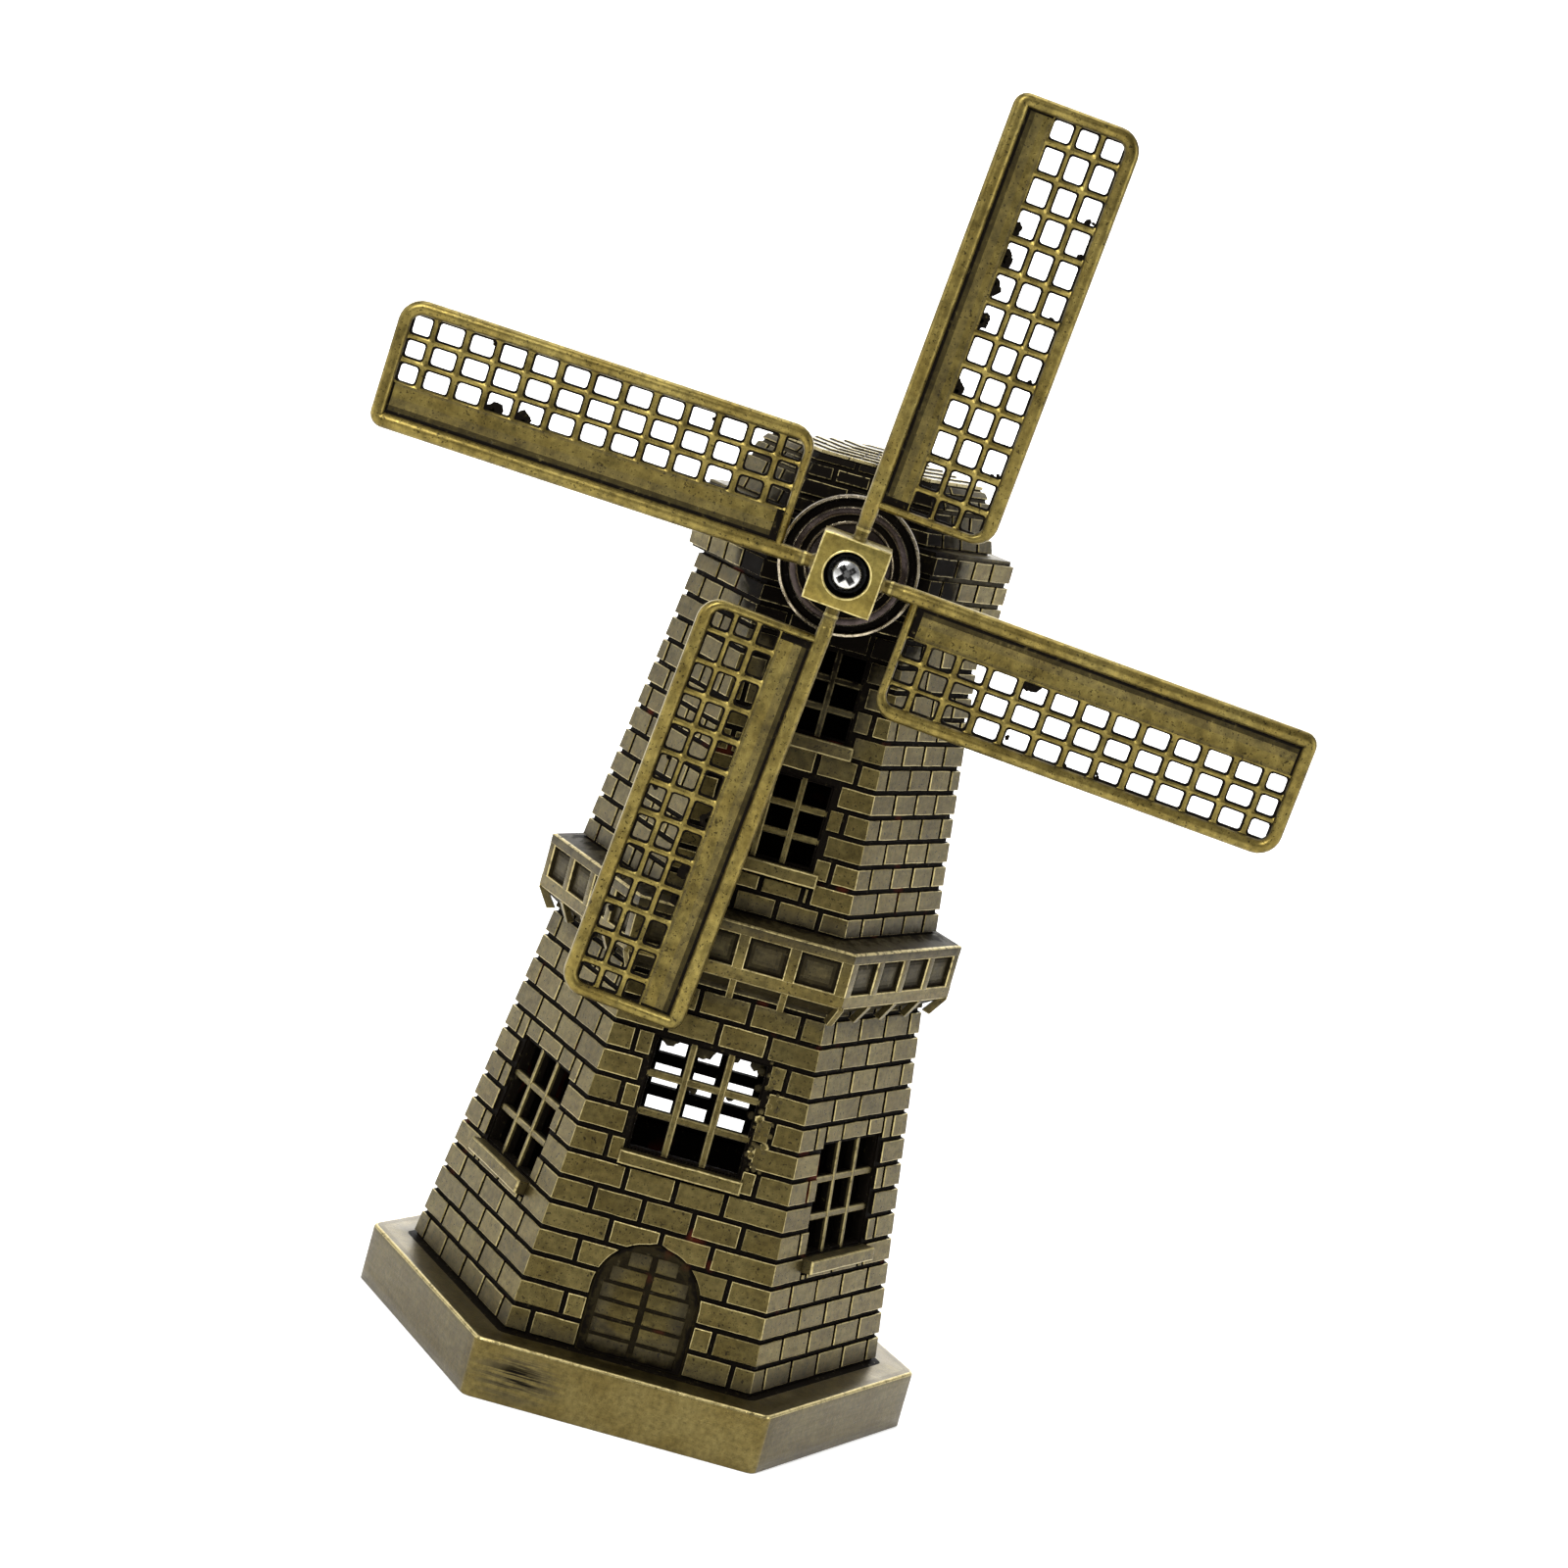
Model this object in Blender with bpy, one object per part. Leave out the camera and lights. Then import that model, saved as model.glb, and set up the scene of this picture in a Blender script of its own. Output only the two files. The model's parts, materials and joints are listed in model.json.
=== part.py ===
"""Souvenir windmill with turning sails: one object for each casting, insert or screw.

The front of the mill faces -Y, +Z is up, and the origin is the middle of the plinth's underside.
Lengths here are millimetres. They become metres when a mesh is made.
"""
import math

import bmesh
import bpy
from mathutils import Matrix, Vector

MM = 0.001
GAP = 0.3
SIDES = 6
FLAT = math.cos(math.pi / SIDES)
FRONT, LEFT, RIGHT, REAR = 1, 0, 2, 4

# Plinth
PLINTH_R = 43.0
PLINTH_H = 8.9
PLINTH_WALL = 2.6
PLINTH_PLATE = 2.5
PLINTH_ROUND = 1.6
PLINTH_WELL_R = 23.0

# Tower walls: corner radius and height at the bottom and the top of each stage
LOWER_Z = (PLINTH_H + GAP, 65.8)
LOWER_R = (36.5, 28.2)
UPPER_Z = (75.3, 121.2)
UPPER_R = (27.4, 21.6)
WALL = 2.6

# Brick courses, divided by level grooves in the outer faces
LOWER_COURSE = 3.88
UPPER_COURSE = 3.55
GROOVE = (0.4, 0.35)

# Gallery belt between the stages
BELT_R = 31.65
BELT_Z = (66.3, 74.45)
BELT_TOP = 75.0
BELT_EDGE = 0.45
PANEL_SIZE = (5.8, 4.65)
PANEL_PITCH = 7.5
PANEL_Z = 70.6
PANEL_DEPTH = 0.7
PANELS_PER_SIDE = 4
STRUT_WIDTH = 1.0
STRUT_DROP = 2.9
COVE_DROP = 1.7

# Sleeves that reach from one casting into the next
SLEEVE = 4.9
SLEEVE_PLAY = 0.4
SLEEVE_WALL = 1.4

# Curb under the cap, and the cap
CURB_R = 23.5
CURB_Z = (121.5, 131.4)
CURB_COURSES = 3
CURB_BORE_R = 15.9
CAP_OUTLINE = ((20.0, 131.7), (19.2, 134.2), (18.5, 137.0), (17.4, 139.3), (16.2, 140.7))
CAP_BORE = ((17.6, 131.7), (17.6, 136.6), (15.2, 139.3), (14.2, 140.7))
ROOF_Z = 141.0
ROOF_R = 16.0
ROOF_STEP = (2.1, 0.27)
ROOF_STEPS = 6
ROOF_PLUG_R = 13.8
ROOF_PLUG_DEPTH = 1.6

# Windows: width and height of the opening, and the height of its lower edge
LOWER_WINDOW = (16.7, 16.6)
UPPER_WINDOW = (13.0, 12.5)
FRONT_WINDOW_Z = 38.7
SIDE_WINDOW_Z = 28.4
UPPER_WINDOWS_Z = (83.5, 102.1)
PANES = 3
BAR_WIDTH = 1.1
RIM_WIDTH = 0.6
BAR_SETBACK = 0.9
FLANGE_LIP = 1.2
FLANGE_THICK = 0.8
SILL_OVERHANG = 0.7
SILL_SIZE = (1.6, 2.0)
SILL_DROP = 0.12

# Door
DOOR_WIDTH = 15.8
DOOR_H = 17.1
DOOR_SETBACK = 0.8

# Windshaft line: the axis height, and places along -Y measured from the mill's middle
SHAFT_Z = 126.8
DISC_R = 10.05
DISC_BACK = CURB_R * FLAT + GAP
DISC_THICK = 2.1
BUSH_R = 3.2
HUB_BACK = 28.0
HUB_FRONT = 36.0
HUB_WIDTH = 9.8
SAIL_PLANE = 31.8
SCREW_R = 1.25
BORE_R = SCREW_R + 0.35
POCKET_R = 3.15
POCKET_DEPTH = 3.0
HEAD_R = 2.25
HEAD_H = 1.7
SCREW_END = 12.2
WASHER_R = 2.7
WASHER_THICK = 0.4
CROSS_REACH = 1.35
CROSS_DEPTH = 1.2

# Sails: distances along the sail are from the shaft axis, across it from the stock's middle
CROSS_TURN = 4.4
SAIL_SET = {"sail_up": 0.4, "sail_right": 0.1, "sail_down": 1.0, "sail_left": -1.7}
SAIL_TIP = 69.1
SAIL_ROOT = 9.6
SAIL_EDGE = 17.3
STOCK_R = 1.15
STOCK_ROOT = 7.6
PIN_R = 0.6
PIN_END = 2.4
RAIL_WIDTH = 2.1
TIP_RAIL_WIDTH = 1.95
ROOT_RAIL_WIDTH = 1.25
RAIL_ROUND = 2.4
BOARD_EDGE = 5.7
LATTICE_ROWS = 13
LATTICE_COLUMNS = 3
LATTICE_BAR = 0.8
LATTICE_Y = (-0.1, 0.8)

# Screws through the plinth
BASE_SCREW_CIRCLE = 29.6
BASE_SCREW_R = 1.1
BASE_HEAD_R = 2.4
BASE_HEAD_H = 1.9
BOSS_R = 3.9
BOSS_H = 8.8


def clear_scene():
    for obj in list(bpy.data.objects):
        bpy.data.objects.remove(obj, do_unlink=True)


def metal(name, colour, roughness, metallic=1.0):
    material = bpy.data.materials.new(name)
    material.use_nodes = True
    shader = material.node_tree.nodes["Principled BSDF"]
    shader.inputs["Base Color"].default_value = (*colour, 1.0)
    shader.inputs["Roughness"].default_value = roughness
    shader.inputs["Metallic"].default_value = metallic
    material.diffuse_color = (*colour, 1.0)
    return material


def make_object(name, vertices, faces):
    mesh = bpy.data.meshes.new(name)
    mesh.from_pydata([Vector(vertex) * MM for vertex in vertices], [], faces)
    work = bmesh.new()
    work.from_mesh(mesh)
    bmesh.ops.recalc_face_normals(work, faces=work.faces)
    work.to_mesh(mesh)
    work.free()
    obj = bpy.data.objects.new(name, mesh)
    bpy.context.scene.collection.objects.link(obj)
    return obj


def finish(obj, material, smooth_angle=None):
    obj.data.materials.clear()
    obj.data.materials.append(material)
    if smooth_angle is not None:
        obj.data.shade_smooth()
        obj.data.set_sharp_from_angle(angle=math.radians(smooth_angle))
    return obj


def combine(body, tool, operation):
    """Join a tool to a body, or cut it away, and keep only the result."""
    modifier = body.modifiers.new(operation.lower(), "BOOLEAN")
    modifier.operation = operation
    modifier.object = tool
    modifier.solver = "EXACT"
    bpy.context.view_layer.update()
    evaluated = body.evaluated_get(bpy.context.evaluated_depsgraph_get())
    result = bpy.data.meshes.new_from_object(evaluated)
    body.modifiers.clear()
    body.data = result
    bpy.data.objects.remove(tool, do_unlink=True)
    return body


def move_mesh(obj, matrix):
    """Place a mesh by a matrix whose shift is in millimetres."""
    placed = matrix.copy()
    placed.translation = matrix.translation * MM
    obj.data.transform(placed)
    return obj


# Outlines and simple solids

def corner(radius, index, z):
    angle = math.pi + index * 2 * math.pi / SIDES
    return Vector((radius * math.cos(angle), radius * math.sin(angle), z))


def hexagon(radius, z, rounding=0.0, steps=3):
    """A level hexagon's outline, with an arc at each corner when it is rounded."""
    if rounding == 0.0:
        return [corner(radius, index, z) for index in range(SIDES)]
    points = []
    for index in range(SIDES):
        centre = corner(radius - rounding / FLAT, index, z)
        middle = math.pi + index * 2 * math.pi / SIDES
        for step in range(steps + 1):
            angle = middle + math.radians(60) * (step / steps - 0.5)
            points.append(centre + Vector((math.cos(angle), math.sin(angle), 0)) * rounding)
    return points


def loft(name, loops, ring=True):
    """Skin a stack of equal outlines: a ring closes on its first loop, a plug has end faces."""
    count = len(loops[0])
    vertices = [point for loop in loops for point in loop]
    faces = []
    pairs = len(loops) if ring else len(loops) - 1
    for low in range(pairs):
        high = (low + 1) % len(loops)
        for index in range(count):
            after = (index + 1) % count
            faces.append((low * count + index, low * count + after,
                          high * count + after, high * count + index))
    if not ring:
        faces.append(tuple(range(count)))
        faces.append(tuple(range((len(loops) - 1) * count, len(loops) * count)))
    return make_object(name, vertices, faces)


def hexagon_ring(name, profile):
    return loft(name, [hexagon(radius, z) for radius, z in profile])


def turned(name, profile, segments):
    """Turn a profile of (radius, height) about Z. Radius 0 at an end closes it on the axis."""
    loops = []
    for radius, z in profile:
        steps = [index * 2 * math.pi / segments for index in range(segments)]
        loops.append([Vector((radius * math.cos(a), radius * math.sin(a), z)) for a in steps])
    return loft(name, loops, ring=False)


def turned_ring(name, profile, segments):
    loops = []
    for radius, z in profile:
        steps = [index * 2 * math.pi / segments for index in range(segments)]
        loops.append([Vector((radius * math.cos(a), radius * math.sin(a), z)) for a in steps])
    return loft(name, loops)


def cylinder(name, radius, low, high, segments=24):
    return turned(name, ((radius, low), (radius, high)), segments)


def block(name, low, high):
    corners = [(x, y, z) for x in (low[0], high[0]) for y in (low[1], high[1]) for z in (low[2], high[2])]
    faces = ((0, 1, 3, 2), (4, 6, 7, 5), (0, 4, 5, 1), (2, 3, 7, 6), (0, 2, 6, 4), (1, 5, 7, 3))
    return make_object(name, corners, faces)


def prism(name, outline, low, high):
    """Extrude an outline in X and Y from one height to another."""
    return loft(name, [[Vector((x, y, z)) for x, y in outline] for z in (low, high)], ring=False)


def grid_plate(name, xs, ys, holes, low, high):
    """A plate cut into cells by lines in X and Y. The cells named in holes are left out."""
    columns, rows = len(xs) - 1, len(ys) - 1
    solid = {(i, j) for i in range(columns) for j in range(rows)} - set(holes)
    vertices = [(x, y, z) for z in (low, high) for y in ys for x in xs]
    level = len(xs) * len(ys)

    def at(i, j, k):
        return k * level + j * len(xs) + i

    faces = []
    for i, j in sorted(solid):
        faces.append((at(i, j, 0), at(i, j + 1, 0), at(i + 1, j + 1, 0), at(i + 1, j, 0)))
        faces.append((at(i, j, 1), at(i + 1, j, 1), at(i + 1, j + 1, 1), at(i, j + 1, 1)))
        for di, dj, a, b in ((-1, 0, (i, j), (i, j + 1)), (1, 0, (i + 1, j + 1), (i + 1, j)),
                             (0, -1, (i + 1, j), (i, j)), (0, 1, (i, j + 1), (i + 1, j + 1))):
            if (i + di, j + dj) not in solid:
                faces.append((at(*a, 0), at(*a, 1), at(*b, 1), at(*b, 0)))
    return make_object(name, vertices, faces)


def spaced(start, end, count, bar):
    """The edges of a row of equal openings between two places, with bars between them."""
    width = (end - start - bar * (count - 1)) / count
    edges = []
    for index in range(count):
        left = start + index * (width + bar)
        edges += [left, left + width]
    return edges


# Tower walls

class Wall:
    """Six equal walls that lean inwards evenly from bottom to top."""

    def __init__(self, heights, radii):
        self.heights = heights
        self.radii = radii

    def radius(self, z):
        share = (z - self.heights[0]) / (self.heights[1] - self.heights[0])
        return self.radii[0] + share * (self.radii[1] - self.radii[0])

    def face(self, side, z):
        """Axes of one outer face at a height: X to the viewer's right, Y up the wall, Z outwards."""
        run = (self.radii[0] - self.radii[1]) * FLAT
        lean = math.atan2(run, self.heights[1] - self.heights[0])
        angle = math.radians(210 + 60 * side)
        level = Vector((math.cos(angle), math.sin(angle), 0))
        right = Vector((0, 0, 1)).cross(level)
        outward = level * math.cos(lean) + Vector((0, 0, math.sin(lean)))
        upward = outward.cross(right)
        matrix = Matrix((right, upward, outward)).transposed().to_4x4()
        matrix.translation = level * self.radius(z) * FLAT + Vector((0, 0, z))
        return matrix


LOWER = Wall(LOWER_Z, LOWER_R)
UPPER = Wall(UPPER_Z, UPPER_R)
BELT = Wall(BELT_Z, (BELT_R, BELT_R))


def grooved(wall, pitch):
    """The outer face's profile, bottom to top, with a groove between the brick courses."""
    depth, half = GROOVE
    low, high = wall.heights
    profile = [(wall.radius(low), low)]
    joint = low + pitch
    while joint < high - pitch / 3:
        profile += [(wall.radius(joint - half), joint - half), (wall.radius(joint) - depth, joint),
                    (wall.radius(joint + half), joint + half)]
        joint += pitch
    profile.append((wall.radius(high), high))
    return profile


def half_shell(name, wall, first, pitch):
    """Three of the six walls, ending just short of the seam with the other three."""
    inset = WALL / FLAT
    profile = grooved(wall, pitch)
    profile += [(wall.radii[1] - inset, wall.heights[1]), (wall.radii[0] - inset, wall.heights[0])]
    count = len(profile)
    vertices = []
    for radius, z in profile:
        corners = [corner(radius, first + index, z) for index in range(4)]
        trim = GAP / 2 / (radius * FLAT)
        corners[0] = corners[0].lerp(corners[1], trim)
        corners[3] = corners[3].lerp(corners[2], trim)
        vertices += corners
    faces = []
    for low in range(count):
        high = (low + 1) % count
        for index in range(3):
            faces.append((low * 4 + index, low * 4 + index + 1, high * 4 + index + 1, high * 4 + index))
    faces += [tuple(range(0, 4 * count, 4)), tuple(range(3, 4 * count, 4))]
    return make_object(name, vertices, faces)


def window_height(wall, side, z, size):
    """The face's axes at the middle of a window whose lower edge is at a height."""
    return wall.face(side, z) @ Matrix.Translation((0, size[1] / 2, 0))


def cut_window(shell, wall, side, z, size):
    hole = block("hole", (-size[0] / 2, -size[1] / 2, -2 * WALL), (size[0] / 2, size[1] / 2, WALL))
    move_mesh(hole, window_height(wall, side, z, size))
    return combine(shell, hole, "DIFFERENCE")


def add_sill(shell, wall, side, z, size):
    depth, height = SILL_SIZE
    reach = size[0] / 2 + SILL_OVERHANG
    sill = block("sill", (-reach, -height - SILL_DROP, -WALL / 2), (reach, -SILL_DROP, depth))
    move_mesh(sill, wall.face(side, z))
    return combine(shell, sill, "UNION")


def window_insert(name, wall, side, z, size):
    """Crossed bars in a thin rim, with a flange that bears on the inside of the wall."""
    half_x = size[0] / 2 - GAP
    half_y = size[1] / 2 - GAP
    xs = [-half_x] + spaced(-half_x + RIM_WIDTH, half_x - RIM_WIDTH, PANES, BAR_WIDTH) + [half_x]
    ys = [-half_y] + spaced(-half_y + RIM_WIDTH, half_y - RIM_WIDTH, PANES, BAR_WIDTH) + [half_y]
    panes = [(2 * i + 1, 2 * j + 1) for i in range(PANES) for j in range(PANES)]
    flange_top = -WALL - GAP
    flange_low = flange_top - FLANGE_THICK
    bars = grid_plate(name, xs, ys, panes, flange_low, -BAR_SETBACK)
    fx = [-half_x - FLANGE_LIP, -half_x + RIM_WIDTH, half_x - RIM_WIDTH, half_x + FLANGE_LIP]
    fy = [-half_y - FLANGE_LIP, -half_y + RIM_WIDTH, half_y - RIM_WIDTH, half_y + FLANGE_LIP]
    flange = grid_plate("flange", fx, fy, [(1, 1)], flange_low, flange_top)
    combine(bars, flange, "UNION")
    return move_mesh(bars, window_height(wall, side, z, size))


def arch(width, height, steps=12):
    """A doorway's outline: straight sides under a half circle."""
    radius = width / 2
    points = [(-radius, 0), (radius, 0)]
    for step in range(steps + 1):
        angle = math.pi * step / steps
        points.append((radius * math.cos(angle), height - radius + radius * math.sin(angle)))
    return points


def cut_doorway(shell):
    foot = LOWER_Z[0]
    opening = arch(DOOR_WIDTH, DOOR_H)
    opening[0] = (opening[0][0], -WALL)
    opening[1] = (opening[1][0], -WALL)
    hole = prism("hole", opening, -2 * WALL, WALL)
    move_mesh(hole, LOWER.face(FRONT, foot))
    return combine(shell, hole, "DIFFERENCE")


def door_insert(name):
    """The closed door: a panel in the doorway, with a flange inside the wall."""
    flange_top = -WALL - GAP
    panel = arch(DOOR_WIDTH - 2 * GAP, DOOR_H - 2 * GAP)
    flange = arch(DOOR_WIDTH + 2 * FLANGE_THICK, DOOR_H + FLANGE_THICK / 2)
    door = prism(name, panel, flange_top - FLANGE_THICK, -DOOR_SETBACK)
    plate = prism("plate", flange, flange_top - FLANGE_THICK - 0.1, flange_top)
    combine(door, plate, "UNION")
    return move_mesh(door, LOWER.face(FRONT, LOWER_Z[0]) @ Matrix.Translation((0, GAP, 0)))


def add_bosses(shell, corners):
    """Screw bosses inside the foot of the wall, at two of its corners."""
    for index in corners:
        place = corner(BASE_SCREW_CIRCLE, index, 0)
        foot = LOWER_Z[0]
        boss = cylinder("boss", BOSS_R, foot + 0.2, foot + BOSS_H, 16)
        combine(shell, move_mesh(boss, Matrix.Translation(place)), "UNION")
        bore = cylinder("bore", BASE_SCREW_R + GAP, foot - 1, foot + BOSS_H + 1, 12)
        combine(shell, move_mesh(bore, Matrix.Translation(place)), "DIFFERENCE")
    return shell


def build_lower_tower(bronze):
    front = half_shell("lower_tower_front", LOWER, 0, LOWER_COURSE)
    rear = half_shell("lower_tower_rear", LOWER, 3, LOWER_COURSE)
    add_bosses(front, (1, 2))
    add_bosses(rear, (4, 5))
    cut_doorway(front)
    windows = (("window_left", front, LEFT, SIDE_WINDOW_Z), ("window_front", front, FRONT, FRONT_WINDOW_Z),
               ("window_right", front, RIGHT, SIDE_WINDOW_Z), ("window_rear", rear, REAR, SIDE_WINDOW_Z))
    for name, shell, side, z in windows:
        add_sill(shell, LOWER, side, z, LOWER_WINDOW)
        cut_window(shell, LOWER, side, z, LOWER_WINDOW)
        finish(window_insert(name, LOWER, side, z, LOWER_WINDOW), bronze(name, 0))
    finish(front, bronze("lower_tower_front", 1))
    finish(rear, bronze("lower_tower_rear", 1))
    finish(door_insert("door"), bronze("door", 2))


def build_upper_tower(bronze):
    front = half_shell("upper_tower_front", UPPER, 0, UPPER_COURSE)
    for number, z in enumerate(UPPER_WINDOWS_Z, start=1):
        name = "window_upper_%d" % number
        add_sill(front, UPPER, FRONT, z, UPPER_WINDOW)
        cut_window(front, UPPER, FRONT, z, UPPER_WINDOW)
        finish(window_insert(name, UPPER, FRONT, z, UPPER_WINDOW), bronze(name, 0))
    finish(front, bronze("upper_tower_front", 1))
    finish(half_shell("upper_tower_rear", UPPER, 3, UPPER_COURSE), bronze("upper_tower_rear", 1))


def build_plinth(bronze):
    """A six-sided tray, open below, with a well under the tower and four screw holes."""
    top = PLINTH_H
    plate = top - PLINTH_PLATE
    inner = PLINTH_R - PLINTH_WALL / FLAT
    loops = [hexagon(PLINTH_R, 0, PLINTH_ROUND), hexagon(PLINTH_R, top - 0.9, PLINTH_ROUND),
             hexagon(PLINTH_R - 0.35, top - 0.25, PLINTH_ROUND), hexagon(PLINTH_R - 0.95, top, PLINTH_ROUND),
             hexagon(PLINTH_WELL_R, top, 0.6), hexagon(PLINTH_WELL_R, plate, 0.6),
             hexagon(inner - 0.4, plate, 0.6), hexagon(inner, 0, 0.6)]
    plinth = loft("plinth", loops)
    for index in (1, 2, 4, 5):
        hole = cylinder("hole", BASE_SCREW_R + GAP, plate - 1, top + 1, 12)
        move_mesh(hole, Matrix.Translation(corner(BASE_SCREW_CIRCLE, index, 0)))
        combine(plinth, hole, "DIFFERENCE")
    finish(plinth, bronze("plinth", 0), 40)


def cut_cross(screw, reach, depth, top):
    """A cross recess of two crossed slots, cut into the head from above."""
    for turn in (45, 135):
        slot = block("slot", (-reach, -0.3, top - depth), (reach, 0.3, top + 1))
        move_mesh(slot, Matrix.Rotation(math.radians(turn), 4, "Z"))
        combine(screw, slot, "DIFFERENCE")
    return screw


def build_base_screws(steel):
    """Pan-head screws that hold the tower from below, heads inside the tray."""
    seat = PLINTH_H - PLINTH_PLATE - GAP
    tip = LOWER_Z[0] + BOSS_H - BASE_SCREW_R - GAP
    crown = BASE_HEAD_H - seat
    for number, index in enumerate((1, 2, 4, 5), start=1):
        name = "base_screw_%d" % number
        profile = ((BASE_SCREW_R * 0.4, -tip), (BASE_SCREW_R, BASE_SCREW_R - tip), (BASE_SCREW_R, -seat),
                   (BASE_HEAD_R, -seat), (BASE_HEAD_R, crown - 0.9), (BASE_HEAD_R - 0.9, crown - 0.2),
                   (0.3, crown))
        screw = turned(name, profile, 20)
        cut_cross(screw, CROSS_REACH, CROSS_DEPTH, crown)
        place = Matrix.Translation(corner(BASE_SCREW_CIRCLE, index, 0)) @ Matrix.Rotation(math.pi, 4, "X")
        finish(move_mesh(screw, place), steel(name), 40)


def build_belt(bronze):
    """The gallery: a belt with a sleeve into each stage, sunk panels, and struts below its edge."""
    inset = WALL / FLAT + SLEEVE_PLAY
    crest = BELT_TOP + SLEEVE
    foot = BELT_Z[0] - SLEEVE
    cove = BELT_Z[0] - COVE_DROP
    shoulder = LOWER_Z[1] + GAP
    upper_r = UPPER.radius(crest) - inset
    lower_r = LOWER_R[1] - inset
    bore_r = upper_r - SLEEVE_WALL
    profile = ((BELT_R, BELT_Z[0]), (BELT_R, BELT_Z[1] - BELT_EDGE), (BELT_R - BELT_EDGE, BELT_Z[1]),
               (UPPER_R[0] + BELT_EDGE, BELT_TOP), (upper_r, BELT_TOP), (upper_r, crest), (bore_r, crest),
               (bore_r, foot), (lower_r, foot), (lower_r, shoulder), (LOWER_R[1] + SLEEVE_PLAY, shoulder),
               (LOWER.radius(cove) + SLEEVE_PLAY, cove))
    belt = hexagon_ring("gallery_belt", profile)
    first = -PANEL_PITCH * (PANELS_PER_SIDE - 1) / 2
    half_x, half_y = PANEL_SIZE[0] / 2, PANEL_SIZE[1] / 2
    for side in range(SIDES):
        face = BELT.face(side, PANEL_Z)
        for index in range(PANELS_PER_SIDE):
            middle = first + index * PANEL_PITCH
            panel = block("panel", (middle - half_x, -half_y, -PANEL_DEPTH), (middle + half_x, half_y, 1))
            combine(belt, move_mesh(panel, face), "DIFFERENCE")
        for index in range(PANELS_PER_SIDE - 1):
            middle = first + (index + 0.5) * PANEL_PITCH
            combine(belt, strut(BELT.face(side, BELT_Z[0]) @ Matrix.Translation((middle, 0, 0)), 1), "UNION")
        angle = math.pi + side * math.pi / 3
        place = Matrix.Translation(corner(BELT_R, side, BELT_Z[0]))
        place = place @ Matrix.Rotation(angle + math.pi / 2, 4, "Z") @ Matrix.Rotation(math.pi / 2, 4, "X")
        combine(belt, strut(place, 1 / FLAT), "UNION")
    finish(belt, bronze("gallery_belt", 1))


def strut(place, stretch):
    """A slanting bar from under the belt's edge down to the wall: X across, Y up, Z outwards."""
    half = STRUT_WIDTH / 2
    slope = ((-0.3, 0.5), (-0.9 * stretch, -0.4), (-2.1 * stretch, -STRUT_DROP),
             (-1.5 * stretch, -STRUT_DROP), (-0.1, -0.1), (-0.1, 0.5))
    loops = [[Vector((x, y, z)) for z, y in slope] for x in (-half, half)]
    return move_mesh(loft("strut", loops, ring=False), place)


def build_curb(bronze):
    """The overhanging band of three courses, bored for the windshaft screw."""
    low, high = CURB_Z
    edge = 0.2
    crest = CAP_BORE[1][1] - SLEEVE_PLAY
    upper_r = CAP_BORE[0][0] - SLEEVE_PLAY
    lower_r = UPPER_R[1] - WALL / FLAT - 1.5 * SLEEVE_PLAY
    band = Wall((low, high - edge), (CURB_R, CURB_R))
    profile = grooved(band, (high - low) / CURB_COURSES)
    profile += [(CURB_R - edge, high), (upper_r, high), (upper_r, crest), (CURB_BORE_R, crest),
                (CURB_BORE_R, low - SLEEVE), (lower_r, low - SLEEVE), (lower_r, low)]
    curb = hexagon_ring("curb_band", profile)
    bore = cylinder("bore", SCREW_R + GAP, 10, CURB_R + 2)
    combine(curb, along_shaft(bore), "DIFFERENCE")
    finish(curb, bronze("curb_band", 1))


def build_cap(bronze):
    """The cap's curved sides, and a low roof of stepped courses with a plug into them."""
    finish(hexagon_ring("cap_wall", CAP_OUTLINE + CAP_BORE[::-1]), bronze("cap_wall", 1))
    loops = [hexagon(ROOF_PLUG_R - ROOF_PLUG_DEPTH, ROOF_Z - ROOF_PLUG_DEPTH),
             hexagon(ROOF_PLUG_R, ROOF_Z - GAP / 2), hexagon(ROOF_PLUG_R, ROOF_Z)]
    for step in range(ROOF_STEPS):
        radius = ROOF_R - step * ROOF_STEP[0]
        loops.append(hexagon(radius, ROOF_Z + step * ROOF_STEP[1]))
        loops.append(hexagon(radius - 0.1, ROOF_Z + (step + 1) * ROOF_STEP[1]))
    finish(loft("cap_roof", loops, ring=False), bronze("cap_roof", 1))


# Windshaft, hub and sails

def along_shaft(obj):
    """Turn a piece made along +Z so that it lies on the shaft axis, +Z towards the front."""
    return move_mesh(obj, Matrix.Translation((0, 0, SHAFT_Z)) @ Matrix.Rotation(math.pi / 2, 4, "X"))


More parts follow.
